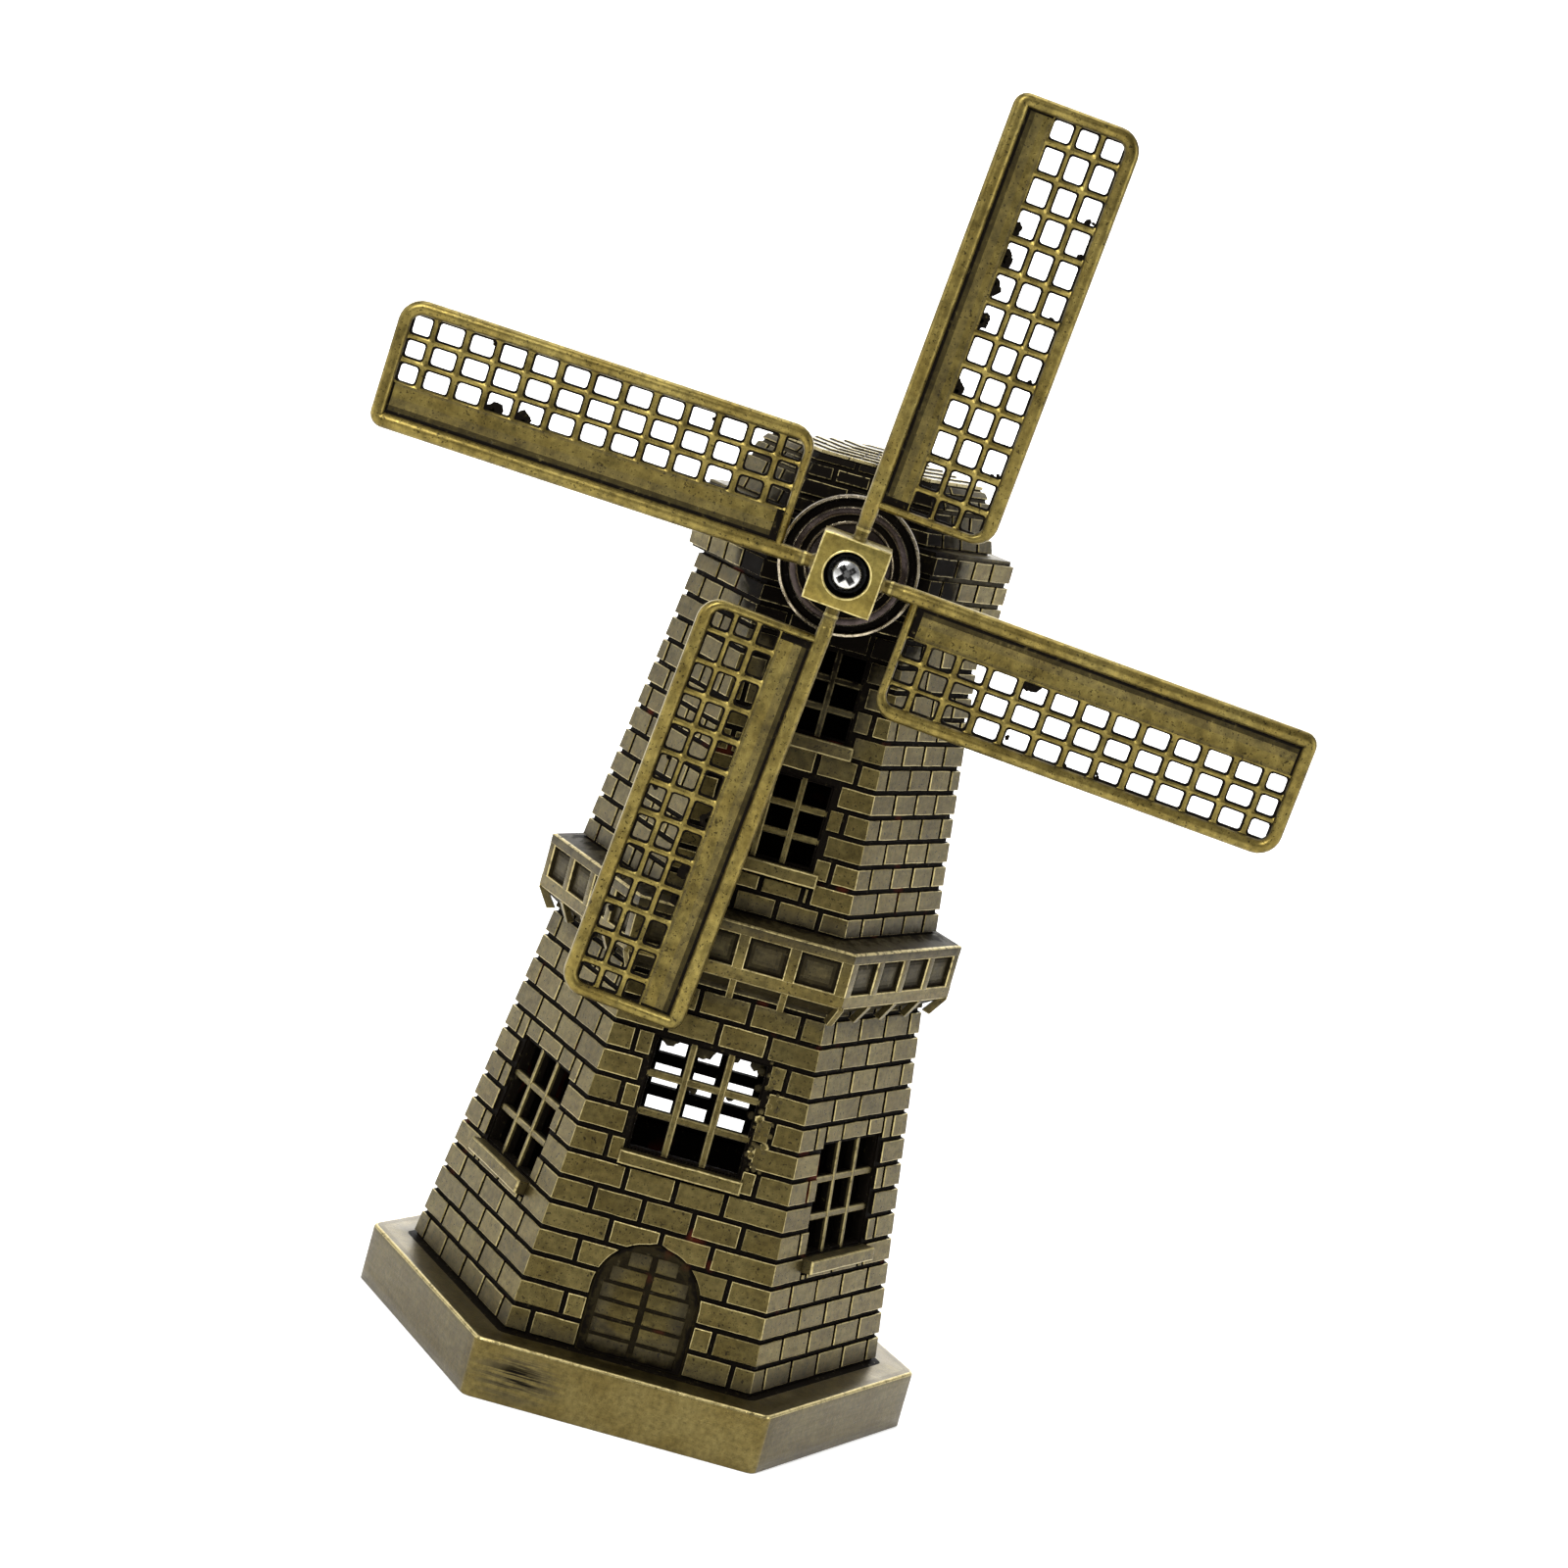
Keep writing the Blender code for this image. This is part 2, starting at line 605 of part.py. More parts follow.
def build_shaft(bronze, steel):
    back = DISC_BACK
    front = back + DISC_THICK
    ridges = ((DISC_R, back), (DISC_R, front - 0.3), (DISC_R - 0.3, front), (DISC_R - 0.7, front),
              (DISC_R - 0.9, front - 0.7), (8.55, front - 0.7), (8.4, front + 0.1), (8.1, front + 0.2),
              (7.5, front - 0.2), (6.1, front - 0.2), (5.9, front - 0.6), (3.9, front - 0.6),
              (3.7, front), (BORE_R, front), (BORE_R, back))
    finish(along_shaft(turned_ring("windshaft_disc", ridges, 40)), bronze("windshaft_disc", 2), 40)
    bush = ((BUSH_R, front + GAP), (BUSH_R, HUB_BACK - GAP), (BORE_R, HUB_BACK - GAP), (BORE_R, front + GAP))
    finish(along_shaft(turned_ring("windshaft_bush", bush, 24)), bronze("windshaft_bush", 2), 40)
    floor = HUB_FRONT - POCKET_DEPTH
    under = floor + GAP
    washer = ((WASHER_R, under), (WASHER_R, under + WASHER_THICK), (BORE_R, under + WASHER_THICK),
              (BORE_R, under))
    finish(along_shaft(turned_ring("hub_washer", washer, 24)), steel("hub_washer"), 40)
    seat = under + WASHER_THICK + GAP
    crown = seat + HEAD_H
    profile = ((SCREW_R * 0.4, SCREW_END), (SCREW_R, SCREW_END + SCREW_R), (SCREW_R, seat),
               (HEAD_R, seat), (HEAD_R, crown - 0.9), (HEAD_R - 0.35, crown - 0.4),
               (HEAD_R - 1.0, crown - 0.1), (0.3, crown))
    screw = turned("hub_screw", profile, 28)
    cut_cross(screw, CROSS_REACH, CROSS_DEPTH, crown)
    finish(along_shaft(screw), steel("hub_screw"), 40)


def on_shaft(obj, turn):
    """Put a moving piece's origin on the shaft axis in the sail plane, turned clockwise from upright."""
    obj.location = Vector((0, -SAIL_PLANE, SHAFT_Z)) * MM
    obj.rotation_euler = (0, math.radians(turn), 0)
    return obj


def build_hub(bronze):
    half = HUB_WIDTH / 2
    hub = block("hub_block", (-half, SAIL_PLANE - HUB_FRONT, -half), (half, SAIL_PLANE - HUB_BACK, half))
    work = bmesh.new()
    work.from_mesh(hub.data)
    bmesh.ops.bevel(work, geom=work.edges[:], offset=0.25 * MM, segments=1, affect="EDGES")
    work.to_mesh(hub.data)
    work.free()
    front = HUB_FRONT - SAIL_PLANE
    pocket = cylinder("pocket", POCKET_R, front - POCKET_DEPTH, front + 1, 32)
    combine(hub, move_mesh(pocket, Matrix.Rotation(math.pi / 2, 4, "X")), "DIFFERENCE")
    bore = cylinder("bore", BORE_R, -2 * half, 2 * half)
    combine(hub, move_mesh(bore, Matrix.Rotation(math.pi / 2, 4, "X")), "DIFFERENCE")
    for quarter in range(4):
        hole = cylinder("hole", PIN_R + GAP, PIN_END - GAP, half + 1, 12)
        combine(hub, move_mesh(hole, Matrix.Rotation(quarter * math.pi / 2, 4, "Y")), "DIFFERENCE")
    finish(on_shaft(hub, CROSS_TURN), bronze("hub_block", 0))


def rail_path():
    """The rail's middle line from the stock, round the two outer corners and back, with half widths."""
    across = SAIL_EDGE - RAIL_WIDTH / 2
    low = SAIL_ROOT + ROOT_RAIL_WIDTH / 2
    high = SAIL_TIP - TIP_RAIL_WIDTH / 2
    path = [(-STOCK_R / 3, low, ROOT_RAIL_WIDTH / 2)]
    corners = ((low + RAIL_ROUND, -90, ROOT_RAIL_WIDTH, RAIL_WIDTH),
               (high - RAIL_ROUND, 0, RAIL_WIDTH, TIP_RAIL_WIDTH))
    steps = 5
    for centre, start, before, after in corners:
        for step in range(steps + 1):
            share = step / steps
            angle = math.radians(start + 90 * share)
            x = across - RAIL_ROUND + RAIL_ROUND * math.cos(angle)
            z = centre + RAIL_ROUND * math.sin(angle)
            path.append((x, z, (before + share * (after - before)) / 2))
    path.append((-STOCK_R / 3, high, TIP_RAIL_WIDTH / 2))
    return path


def rail(name):
    """A half-round bar swept along the rail path, flat at the back."""
    path = rail_path()
    loops = []
    for index, (x, z, half) in enumerate(path):
        before = path[max(index - 1, 0)]
        after = path[min(index + 1, len(path) - 1)]
        along = Vector((after[0] - before[0], after[1] - before[1])).normalized()
        outward = Vector((along.y, -along.x))
        section = ((-1, 0.9), (-1, 0), (-0.7, -0.7), (0, -1), (0.7, -0.7), (1, 0), (1, 0.9))
        loops.append([Vector((x + outward.x * side * half, y, z + outward.y * side * half))
                      for side, y in section])
    return loft(name, loops, ring=False)


def sail_mesh():
    """One sail: a round stock with its pin, the rail round the outside, a board and the lattice."""
    end = SAIL_TIP + 0.15
    profile = ((PIN_R, PIN_END), (PIN_R, STOCK_ROOT - 0.3), (STOCK_R, STOCK_ROOT + 0.2),
               (STOCK_R, end - 0.4), (STOCK_R - 0.4, end))
    sail = turned("sail", profile, 12)
    combine(sail, rail("rail"), "UNION")
    inner_low = SAIL_ROOT + ROOT_RAIL_WIDTH
    inner_high = SAIL_TIP - TIP_RAIL_WIDTH
    inner_edge = SAIL_EDGE - RAIL_WIDTH
    lap = 0.4
    xs = [STOCK_R / 4] + spaced(BOARD_EDGE, inner_edge, LATTICE_COLUMNS, LATTICE_BAR) + [inner_edge + lap]
    zs = [inner_low - lap] + spaced(inner_low, inner_high, LATTICE_ROWS, LATTICE_BAR) + [inner_high + lap]
    holes = [(2 * i + 1, 2 * j + 1) for i in range(LATTICE_COLUMNS) for j in range(LATTICE_ROWS)]
    plate = grid_plate("plate", xs, zs, holes, -LATTICE_Y[1], -LATTICE_Y[0])
    combine(sail, move_mesh(plate, Matrix.Rotation(math.pi / 2, 4, "X")), "UNION")
    mesh = sail.data
    bpy.data.objects.remove(sail, do_unlink=True)
    return mesh


def build_sails(bronze):
    shape = sail_mesh()
    for quarter, (name, error) in enumerate(SAIL_SET.items()):
        sail = bpy.data.objects.new(name, shape.copy())
        bpy.context.scene.collection.objects.link(sail)
        finish(on_shaft(sail, CROSS_TURN + 90 * quarter + error), bronze(name, 0), 50)


def main():
    clear_scene()
    tones = ((0.30, 0.25, 0.09), (0.24, 0.20, 0.09), (0.13, 0.11, 0.07))

    def bronze(name, tone):
        return metal(name + "_bronze", tones[tone], 0.42)

    def steel(name):
        return metal(name + "_zinc", (0.66, 0.66, 0.67), 0.25)

    build_plinth(bronze)
    build_base_screws(steel)
    build_lower_tower(bronze)
    build_belt(bronze)
    build_upper_tower(bronze)
    build_curb(bronze)
    build_cap(bronze)
    build_shaft(bronze, steel)
    build_hub(bronze)
    build_sails(bronze)


main()
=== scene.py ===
"""Looks of the souvenir windmill: cast brickwork, grilles, gallery, turned rings and sails.

Lengths are millimetres and become metres when a piece is made. The front of the mill faces -Y.
Outlines on a wall are drawn in its face: X to the viewer's right, Y up the slope, Z outwards.
"""
import json
import math
import random

import bmesh
import bpy
from mathutils import Matrix, Vector


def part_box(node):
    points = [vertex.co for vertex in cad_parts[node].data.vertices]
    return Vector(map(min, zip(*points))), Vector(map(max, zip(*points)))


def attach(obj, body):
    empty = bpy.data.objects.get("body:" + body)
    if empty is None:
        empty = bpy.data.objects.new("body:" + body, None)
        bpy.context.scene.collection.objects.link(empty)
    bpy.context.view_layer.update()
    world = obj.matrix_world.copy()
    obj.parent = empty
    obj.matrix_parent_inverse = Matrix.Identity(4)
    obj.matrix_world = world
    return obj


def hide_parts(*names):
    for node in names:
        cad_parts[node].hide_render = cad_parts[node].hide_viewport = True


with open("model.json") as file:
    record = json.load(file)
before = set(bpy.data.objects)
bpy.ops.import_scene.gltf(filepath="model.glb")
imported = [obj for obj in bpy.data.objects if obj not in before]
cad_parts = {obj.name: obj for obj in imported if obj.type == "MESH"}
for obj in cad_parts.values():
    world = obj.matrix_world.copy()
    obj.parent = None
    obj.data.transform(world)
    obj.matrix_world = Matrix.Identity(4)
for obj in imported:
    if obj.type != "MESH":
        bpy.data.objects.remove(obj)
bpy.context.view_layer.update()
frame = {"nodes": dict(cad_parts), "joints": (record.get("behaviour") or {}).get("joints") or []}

MM = 0.001
GAP = 0.3
SIDES = 6
LEFT, FRONT, RIGHT, REAR = 0, 1, 2, 4
FLAT = math.cos(math.pi / SIDES)
MITRE = math.tan(math.pi / SIDES)
UPRIGHT = Matrix.Identity(4)

# How worn a face is: 0 is black patina in a recess, 0.5 a plain face, 1 a rubbed edge; some faces take these
# values as painted shade and painted highlights
BLACK, DARK, DULL, PLAIN, RUBBED, EDGE = 0.0, 0.15, 0.32, 0.5, 0.8, 1.0


def box_mm(node):
    low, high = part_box(node)
    return low / MM, high / MM


def corner_radius(node, z):
    """Corner radius of a six-sided node at a height where it has corners."""
    points = [vertex.co / MM for vertex in frame["nodes"][node].data.vertices]
    return max(math.hypot(p.x, p.y) for p in points if abs(p.z - z) < 0.05)


# Places and main sizes, from the frame
PLINTH_H = box_mm("plinth")[1].z
PLINTH_R = box_mm("plinth")[1].x
WALL = 2.6
BELT_R = box_mm("gallery_belt")[1].x
CURB_R = box_mm("curb_band")[1].x
HUB = Vector(frame["joints"][0]["pos_m"]) / MM
DISC_FRONT = -box_mm("windshaft_disc")[0].y
DISC_BACK = -box_mm("windshaft_disc")[1].y
DISC_R = box_mm("windshaft_disc")[1].x
HUB_FRONT = -box_mm("hub_block")[0].y
HUB_BACK = -box_mm("hub_block")[1].y

# Brickwork: course heights, joint spacing, mortar and relief
LOWER_COURSE, LOWER_PITCH = 3.88, 7.4
UPPER_COURSE, UPPER_PITCH = 3.6, 6.2
UPPER_FIRST = 3.3
CURB_PITCH = 5.4
CAP_COURSES = (2.5, 2.8, 2.3, 1.4)
MORTAR = 0.72
MORTAR_DEPTH = 0.55
JOG = 0.7

# Openings: half width, lower edge, height
LOWER_WINDOW = (8.35, 16.6)
UPPER_WINDOW = (6.5, 12.5)
FRONT_WINDOW_Z, SIDE_WINDOW_Z, UPPER_WINDOWS_Z = 38.7, 28.4, (83.5, 102.1)
SILL_H, SILL_OUT, SILL_LAP, SILL_DROP = 2.0, 1.6, 0.7, 0.2
PANES, RIM, BAR_SETBACK = 3, 0.35, 0.7
# Lower windows: node, sill height and the widths of the upright and the level bars
LOWER_WINDOWS = {LEFT: ("window_left", SIDE_WINDOW_Z, 0.75, 1.1),
                 FRONT: ("window_front", FRONT_WINDOW_Z, 1.1, 1.15),
                 RIGHT: ("window_right", SIDE_WINDOW_Z, 0.75, 1.1),
                 REAR: ("window_rear", SIDE_WINDOW_Z, 2.1, 1.9)}
DOOR_HALF, DOOR_H = 7.9, 17.3
DOOR_SPRING = DOOR_H - DOOR_HALF
DOOR_DEPTH, DOOR_ROWS, DOOR_PITCH, DOOR_MIDDLE, DOOR_BORDER = 0.75, 6, 2.6, 0.45, 1.45

# Gallery belt
PANEL_SIZE, PANEL_PITCH, PANEL_DEPTH, PANELS = (5.8, 4.65), 7.5, 0.7, 4
PANEL_Z = 70.6
PANEL_LOW, PANEL_HIGH = PANEL_Z - PANEL_SIZE[1] / 2, PANEL_Z + PANEL_SIZE[1] / 2
BELT_FLOOR = BELT_R - PANEL_DEPTH / FLAT
SOFT, SLEEVE_Z = 0.16, 61.5
STRUT, STRUT_DROP = 1.0, 2.9
ROOF_STEPS, ROOF_STEP, ROOF_SLAB = 6, 2.1, 4.5

# Windshaft and hub
BORE, HUB_HALF, POCKET_R, POCKET_DEPTH = 1.6, 4.9, 3.15, 3.0
BASE_HEAD = 1.9

# Sails, along the sail from the shaft and across it from the stock's middle
CROSS_TURN = 4.4
# Each sail: its error in turn, where its board ends and its clusters of casting flash
SAIL_SET = {"sail_up": (0.4, 5.0, 17), "sail_right": (0.1, 5.7, 5), "sail_down": (1.0, 5.7, 8),
            "sail_left": (-1.7, 5.7, 4)}
SAIL_TIP, SAIL_ROOT, SAIL_EDGE = 69.1, 9.6, 17.3
STOCK_R, STOCK_ROOT = 1.15, 7.6
RAIL, TIP_RAIL, ROOT_RAIL, RAIL_ROUND = 2.1, 1.95, 1.25, 2.4
ROWS, COLUMNS, LATTICE_BAR, COLUMN_BAR, END_PANE = 13, 3, 0.8, 0.65, 2.9

# Studio sheet, in metres, then the camera
SHEET_REACH, SHEET_DEPTH, SHEET_BEND, SHEET_TOP = 4.5, 0.9, 0.6, 3.5
CAMERA_TARGET = Vector((-0.454, 0.0, 90.93))
CAMERA_DISTANCE, CAMERA_LENS = 504.3, 78.05
CAMERA_TURN, CAMERA_RISE, CAMERA_ROLL = -0.22, 9.2, 15.58


class Wall:
    """Six faces of one stage, given by its bottom and top heights and corner radii."""

    def __init__(self, low, high, radius_low, radius_high):
        self.low, self.high = low, high
        self.radii = radius_low, radius_high
        self.lean = math.atan2((radius_low - radius_high) * FLAT, high - low)

    def radius(self, z):
        share = (z - self.low) / (self.high - self.low)
        return self.radii[0] + (self.radii[1] - self.radii[0]) * share

    def up(self, z):
        return (z - self.low) / math.cos(self.lean)

    def half(self, y):
        return self.radius(self.low + y * math.cos(self.lean)) / 2

    def place(self, side):
        angle = math.radians(210 + 60 * side)
        out = Vector((math.cos(angle), math.sin(angle), 0))
        across = Vector((-out.y, out.x, 0))
        rise, tilt = math.cos(self.lean), math.sin(self.lean)
        up = Vector((-out.x * tilt, -out.y * tilt, rise))
        normal = Vector((out.x * rise, out.y * rise, tilt))
        matrix = Matrix((across, up, normal)).transposed().to_4x4()
        matrix.translation = out * self.radii[0] * FLAT + Vector((0, 0, self.low))
        return matrix


def wall_of(node, low, high):
    return Wall(low, high, corner_radius(node, low), corner_radius(node, high))


LOWER_Z = box_mm("lower_tower_front")[0].z, box_mm("lower_tower_front")[1].z
UPPER_Z = box_mm("upper_tower_front")[0].z, box_mm("upper_tower_front")[1].z
LOWER = wall_of("lower_tower_front", *LOWER_Z)
UPPER = wall_of("upper_tower_front", *UPPER_Z)
CAP_Z = box_mm("cap_wall")[0].z
CURB = Wall(UPPER_Z[1] + GAP, CAP_Z - GAP, CURB_R, CURB_R)
BELT_Z = LOWER_Z[1] + 0.5, UPPER_Z[0] - 0.85
BELT = Wall(*BELT_Z, BELT_R, BELT_R)


class Shape:
    """Closed shells of one piece, with a tone for every face, for how worn it is and for painted light, and
    a shade for every face.
    """

    def __init__(self, seed=0):
        self.points, self.faces, self.wear, self.shade = [], [], [], []
        self.random = random.Random(seed)

    def add(self, points, faces, wear, place=UPRIGHT, shade=0.5):
        start = len(self.points)
        self.points += [place @ Vector(point) for point in points]
        self.faces += [[start + index for index in face] for face in faces]
        self.wear += wear
        self.shade += [shade] * len(faces)

    def skin(self, loops, wear, place=UPRIGHT, shade=0.5, ends=None, across=None):
        """Bands of quads between loops, their wear by band or, with across, by the loops' edges.
        With ends, a cap of that wear on each, else a closed ring."""
        count = len(loops[0])
        faces, tones = [], []
        bands = len(loops) if ends is None else len(loops) - 1
        for band in range(bands):
            low, high = band * count, (band + 1) % len(loops) * count
            for index in range(count):
                after = (index + 1) % count
                faces.append((low + index, low + after, high + after, high + index))
                tones.append(across[index] if across else wear[band % len(wear)])
        if ends is not None:
            last = (len(loops) - 1) * count
            faces += [tuple(reversed(range(count))), tuple(range(last, last + count))]
            tones += list(ends)
        self.add([point for loop in loops for point in loop], faces, tones, place, shade)


# Painted shade at ledges as height, reach and strength, and the middle and size of the plinth's scuff
LEDGE_SHADE = (PLINTH_H, 4.5, 0.55), (UPPER_Z[0], 3.5, 0.85), (UPPER_Z[1], 2.5, 0.4)
SCUFF, SCUFF_SIZE = (-14.5, 4.4), (5.5, 3.2)


def ramp(value, start, end):
    """0 at the start and 1 at the end, straight between and held outside."""
    return min(max((value - start) / (end - start), 0), 1)


def flat_reach(p):
    """Distance of a point from the tower's axis, square to the face it is on."""
    turns = math.pi / 6, math.pi / 2, -math.pi / 6
    return max(abs(p.x * math.cos(a) + p.y * math.sin(a)) for a in turns)


def plinth_shade_and_scuff(p):
    """Painted shade round the tower's foot, and a scuff on the plinth's front."""
    foot = 0.6 * ramp(flat_reach(p) - LOWER.radii[0] * FLAT, 3.2, 0) * (p.z > PLINTH_H - 0.4)
    across, up = (p.x - SCUFF[0]) / SCUFF_SIZE[0], (p.z - SCUFF[1]) / SCUFF_SIZE[1]
    return max(foot, math.exp(-across ** 2 - up ** 2) * (p.y < -30))


def belt_painted_shade(p):
    """Painted shade on the wall just below the gallery belt."""
    below = BELT_Z[0] - 0.2 - p.z
    if not 0 < below < 5:
        return 0
    return ramp(flat_reach(p) - LOWER.radius(p.z) * FLAT, 1.4, 0) * (1 - below / 5)


def doorway_painted_shade(p):
    """Painted shade towards the doorway's edge and foot."""
    if p.y >= -LOWER.radii[1] * FLAT or p.z >= PLINTH_H + DOOR_H:
        return 0
    climb = LOWER.up(p.z)
    inside = DOOR_HALF - (abs(p.x) if climb < DOOR_SPRING else math.hypot(p.x, climb - DOOR_SPRING))
    return max(1 - inside / 4.5, 1 - climb / 5) if inside > 0 else 0


def shade_and_scuff_at(p):
    """How much a point is darkened: painted shade by the windshaft, down the upper front, round the cap and
    most on its front, at ledges and in corners, with the plinth's scuff.
    """
    if p.z < PLINTH_H + 0.2:
        return plinth_shade_and_scuff(p)
    front = ramp(-p.y, 8, 14) * (p.y > -25)
    shaft = front * ramp(math.hypot(p.x, p.z - HUB.z), 19, 15)
    strip = front * ramp(abs(p.x), 10.5, 7.5) * ramp(p.z, 92, 114)
    cap = ramp(p.z, CAP_Z - 1, CAP_Z) * (0.3 + 0.65 * ramp(-p.y, 4, 13))
    ledge = max(level * ramp(abs(p.z - z), reach, 0) for z, reach, level in LEDGE_SHADE)
    return min(max(shaft, strip, cap, ledge, belt_painted_shade(p), doorway_painted_shade(p)), 1)


def smooth_mesh(name, shape, angle):
    """The shape's mesh in metres, faces outwards, smooth except at edges sharper than the angle."""
    mesh = bpy.data.meshes.new(name)
    mesh.from_pydata([point * MM for point in shape.points], [], shape.faces)
    for label, values in (("wear", shape.wear), ("shade", shape.shade)):
        mesh.attributes.new(label, "FLOAT", "FACE").data.foreach_set("value", values)
    work = bmesh.new()
    work.from_mesh(mesh)
    bmesh.ops.recalc_face_normals(work, faces=work.faces)
    work.to_mesh(mesh)
    work.free()
    mesh.shade_smooth()
    mesh.set_sharp_from_angle(angle=math.radians(angle))
    return mesh


def piece(name, shape, body, nodes, material, angle=20, place=None):
    """Make a piece that stands for its CAD nodes and rides on their body."""
    mesh = smooth_mesh(name, shape, angle)
    # Per-point painted shade, with the plinth's scuff, for the material to darken by
    shade_and_scuff = mesh.attributes.new("shade_and_scuff", "FLOAT", "POINT")
    shade_and_scuff.data.foreach_set("value", [shade_and_scuff_at(vertex.co / MM) for vertex in mesh.vertices])
    if place is not None:
        mesh.transform(place)
        shade_and_scuff.data.foreach_set("value", [0.0] * len(mesh.vertices))
    mesh.materials.append(material)
    obj = bpy.data.objects.new(name, mesh)
    bpy.context.scene.collection.objects.link(obj)
    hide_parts(*nodes)
    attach(obj, body)
    return obj


# Outlines and relief on a wall

def inset(outline, amounts):
    """Move every edge of an anticlockwise outline inwards by its own amount."""
    count = len(outline)
    moved = []
    for index, point in enumerate(outline):
        before = (point - outline[index - 1]).normalized()
        after = (outline[(index + 1) % count] - point).normalized()
        n1, n2 = Vector((-before.y, before.x)), Vector((-after.y, after.x))
        d1, d2 = amounts[index - 1], amounts[index]
        cosine = n1.dot(n2)
        if cosine > 0.97:
            moved.append(point + n1 * max(d1, d2))
        else:
            scale = 1 / (1 - cosine * cosine)
            moved.append(point + (n1 * (d1 - d2 * cosine) + n2 * (d2 - d1 * cosine)) * scale)
    return moved


def roughened(outline, corners, source, step=1.9, wander=0.05):
    """Split long edges and move the new points a little, as a worn casting has them."""
    points, flags = [], []
    for index, start in enumerate(outline):
        end = outline[(index + 1) % len(outline)]
        along = end - start
        parts = 1 if corners[index] else max(1, round(along.length / step))
        across = Vector((-along.y, along.x)).normalized()
        for part in range(parts):
            drift = source.uniform(-wander, wander) if part else 0
            points.append(start + along * part / parts + across * drift)
            flags.append(corners[index])
    return points, flags


def relief(shape, place, outline, corners, rings, wear, ends, shade=0.5):
    """Raise an outline off a wall. Rings are (depth below the face, inset); corners are mitred."""
    loops = []
    for depth, amount in rings:
        mitre = depth * MITRE + (amount if depth < 0.03 else 0) * 0.6
        amounts = [mitre if corner else amount for corner in corners]
        loops.append([point.to_3d() - Vector((0, 0, depth)) for point in inset(outline, amounts)])
    shape.skin(loops, wear, place, shade, ends)


def rectangle(x0, y0, x1, y1):
    return [Vector((x0, y0)), Vector((x1, y0)), Vector((x1, y1)), Vector((x0, y1))]


BRICK_RINGS = ((0.7, 0.0), (0.14, 0.0), (0.04, 0.035), (0.0, 0.13))


def brick(shape, place, outline, corners):
    """One closed brick with rubbed edges, a little uneven."""
    source = shape.random
    outline, corners = roughened(outline, corners, source)
    lift = 0 if any(corners) else source.uniform(-0.01, 0.05)
    rings = [(depth + lift * (depth < 0.5), amount) for depth, amount in BRICK_RINGS]
    shade = source.random()
    tones = BLACK, EDGE, source.uniform(0.6, 0.95)
    relief(shape, place, outline, corners, rings, tones, (BLACK, PLAIN), shade)


def door_half(y):
    """Half width of the doorway at a height up the wall."""
    if y < DOOR_SPRING:
        return DOOR_HALF
    return math.sqrt(max(DOOR_HALF ** 2 - (y - DOOR_SPRING) ** 2, 0))


def beside_door(x0, y0, x1, y1, sign):
    """Outline of the part of a brick outside the doorway, on its left (-1) or right (1)."""
    near, far = (x1, x0) if sign < 0 else (x0, x1)
    margin = 0.1
    edge = []
    for step in range(9):
        y = y0 + (y1 - y0) * step / 8
        gap = door_half(y)
        limit = sign * (gap + margin) if gap > 0 else near
        x = limit if (limit - near) * sign > 0 else near
        if (far - x) * sign > 0.05:
            edge.append(Vector((x, y)))
    if len(edge) < 2:
        return []
    points = [Vector((far, edge[0].y))] + edge + [Vector((far, y1))]
    return points if sign < 0 else points[::-1]


def cut_by_openings(x0, z0, x1, z1, openings, jog):
    """Parts of a brick that are left beside, above and below the openings."""
    parts = [(x0, z0, x1, z1)]
    for half, low, high in openings:
        left = []
        for a, b, c, d in parts:
            if d <= low + 0.3 or b >= high - 0.3 or c <= -half or a >= half:
                left.append((a, b, c, d))
                continue
            reach = half + jog
            left += [(a, b, min(c, -reach), d), (max(a, reach), b, c, d)]
            inside = max(a, -reach), min(c, reach)
            left += [(inside[0], high, inside[1], d), (inside[0], b, inside[1], low)]
        parts = [part for part in left if part[2] - part[0] > 0.9 and part[3] - part[1] > 1.1]
    return parts


def lay_bricks(shape, wall, side, heights, pitch, shift, least, openings=(), doorway=False):
    """Running bond between the given heights, whole bricks round the corners."""
    place = wall.place(side)
    joint = MORTAR / 2
    for course, (z0, z1) in enumerate(zip(heights, heights[1:])):
        half = wall.radius((z0 + z1) / 2) / 2
        offset = pitch / 2 * ((course + shift) % 2)
        count = int(half / pitch) + 1
        joints = [offset + pitch * k for k in range(-count - 1, count + 1)]
        joints = [x + shape.random.uniform(-0.15, 0.15) for x in joints if abs(x) < half - least]
        edges = [-half] + joints + [half]
        if doorway and z0 < LOWER.low + DOOR_H:
            edges = sorted(edges + ([0.0] if offset else []))
        for index, (x0, x1) in enumerate(zip(edges, edges[1:])):
            jog = 0.05 if offset else JOG
            for a, b, c, d in cut_by_openings(x0, z0, x1, z1, openings, jog):
                lay_one(shape, wall, place, (a, b, c, d), (a == -half, c == half), joint, doorway)


def lay_one(shape, wall, place, part, at_corner, joint, doorway):
    """One brick of a course, with half a joint of room on each free side."""
    x0, z0, x1, z1 = part
    y0, y1 = wall.up(z0) + joint, wall.up(z1) - joint
    left, right = at_corner
    x0 += 0 if left else joint
    x1 -= 0 if right else joint
    outline = rectangle(x0, y0, x1, y1)
    if doorway and z0 < wall.low + DOOR_H and not (left and right):
        outline = beside_door(x0, y0, x1, y1, -1 if x0 + x1 < 0 else 1)
    if not outline:
        return
    ends = x0 if left else None, x1 if right else None
    outline = [lean_corner(point, wall, *ends) for point in outline]
    corners = []
    for point, after in zip(outline, outline[1:] + outline[:1]):
        on_corner = all(abs(abs(p.x) - wall.half(p.y)) < 1e-4 for p in (point, after))
        corners.append(on_corner and abs(after.y - point.y) > 0.5)
    brick(shape, place, outline, corners)


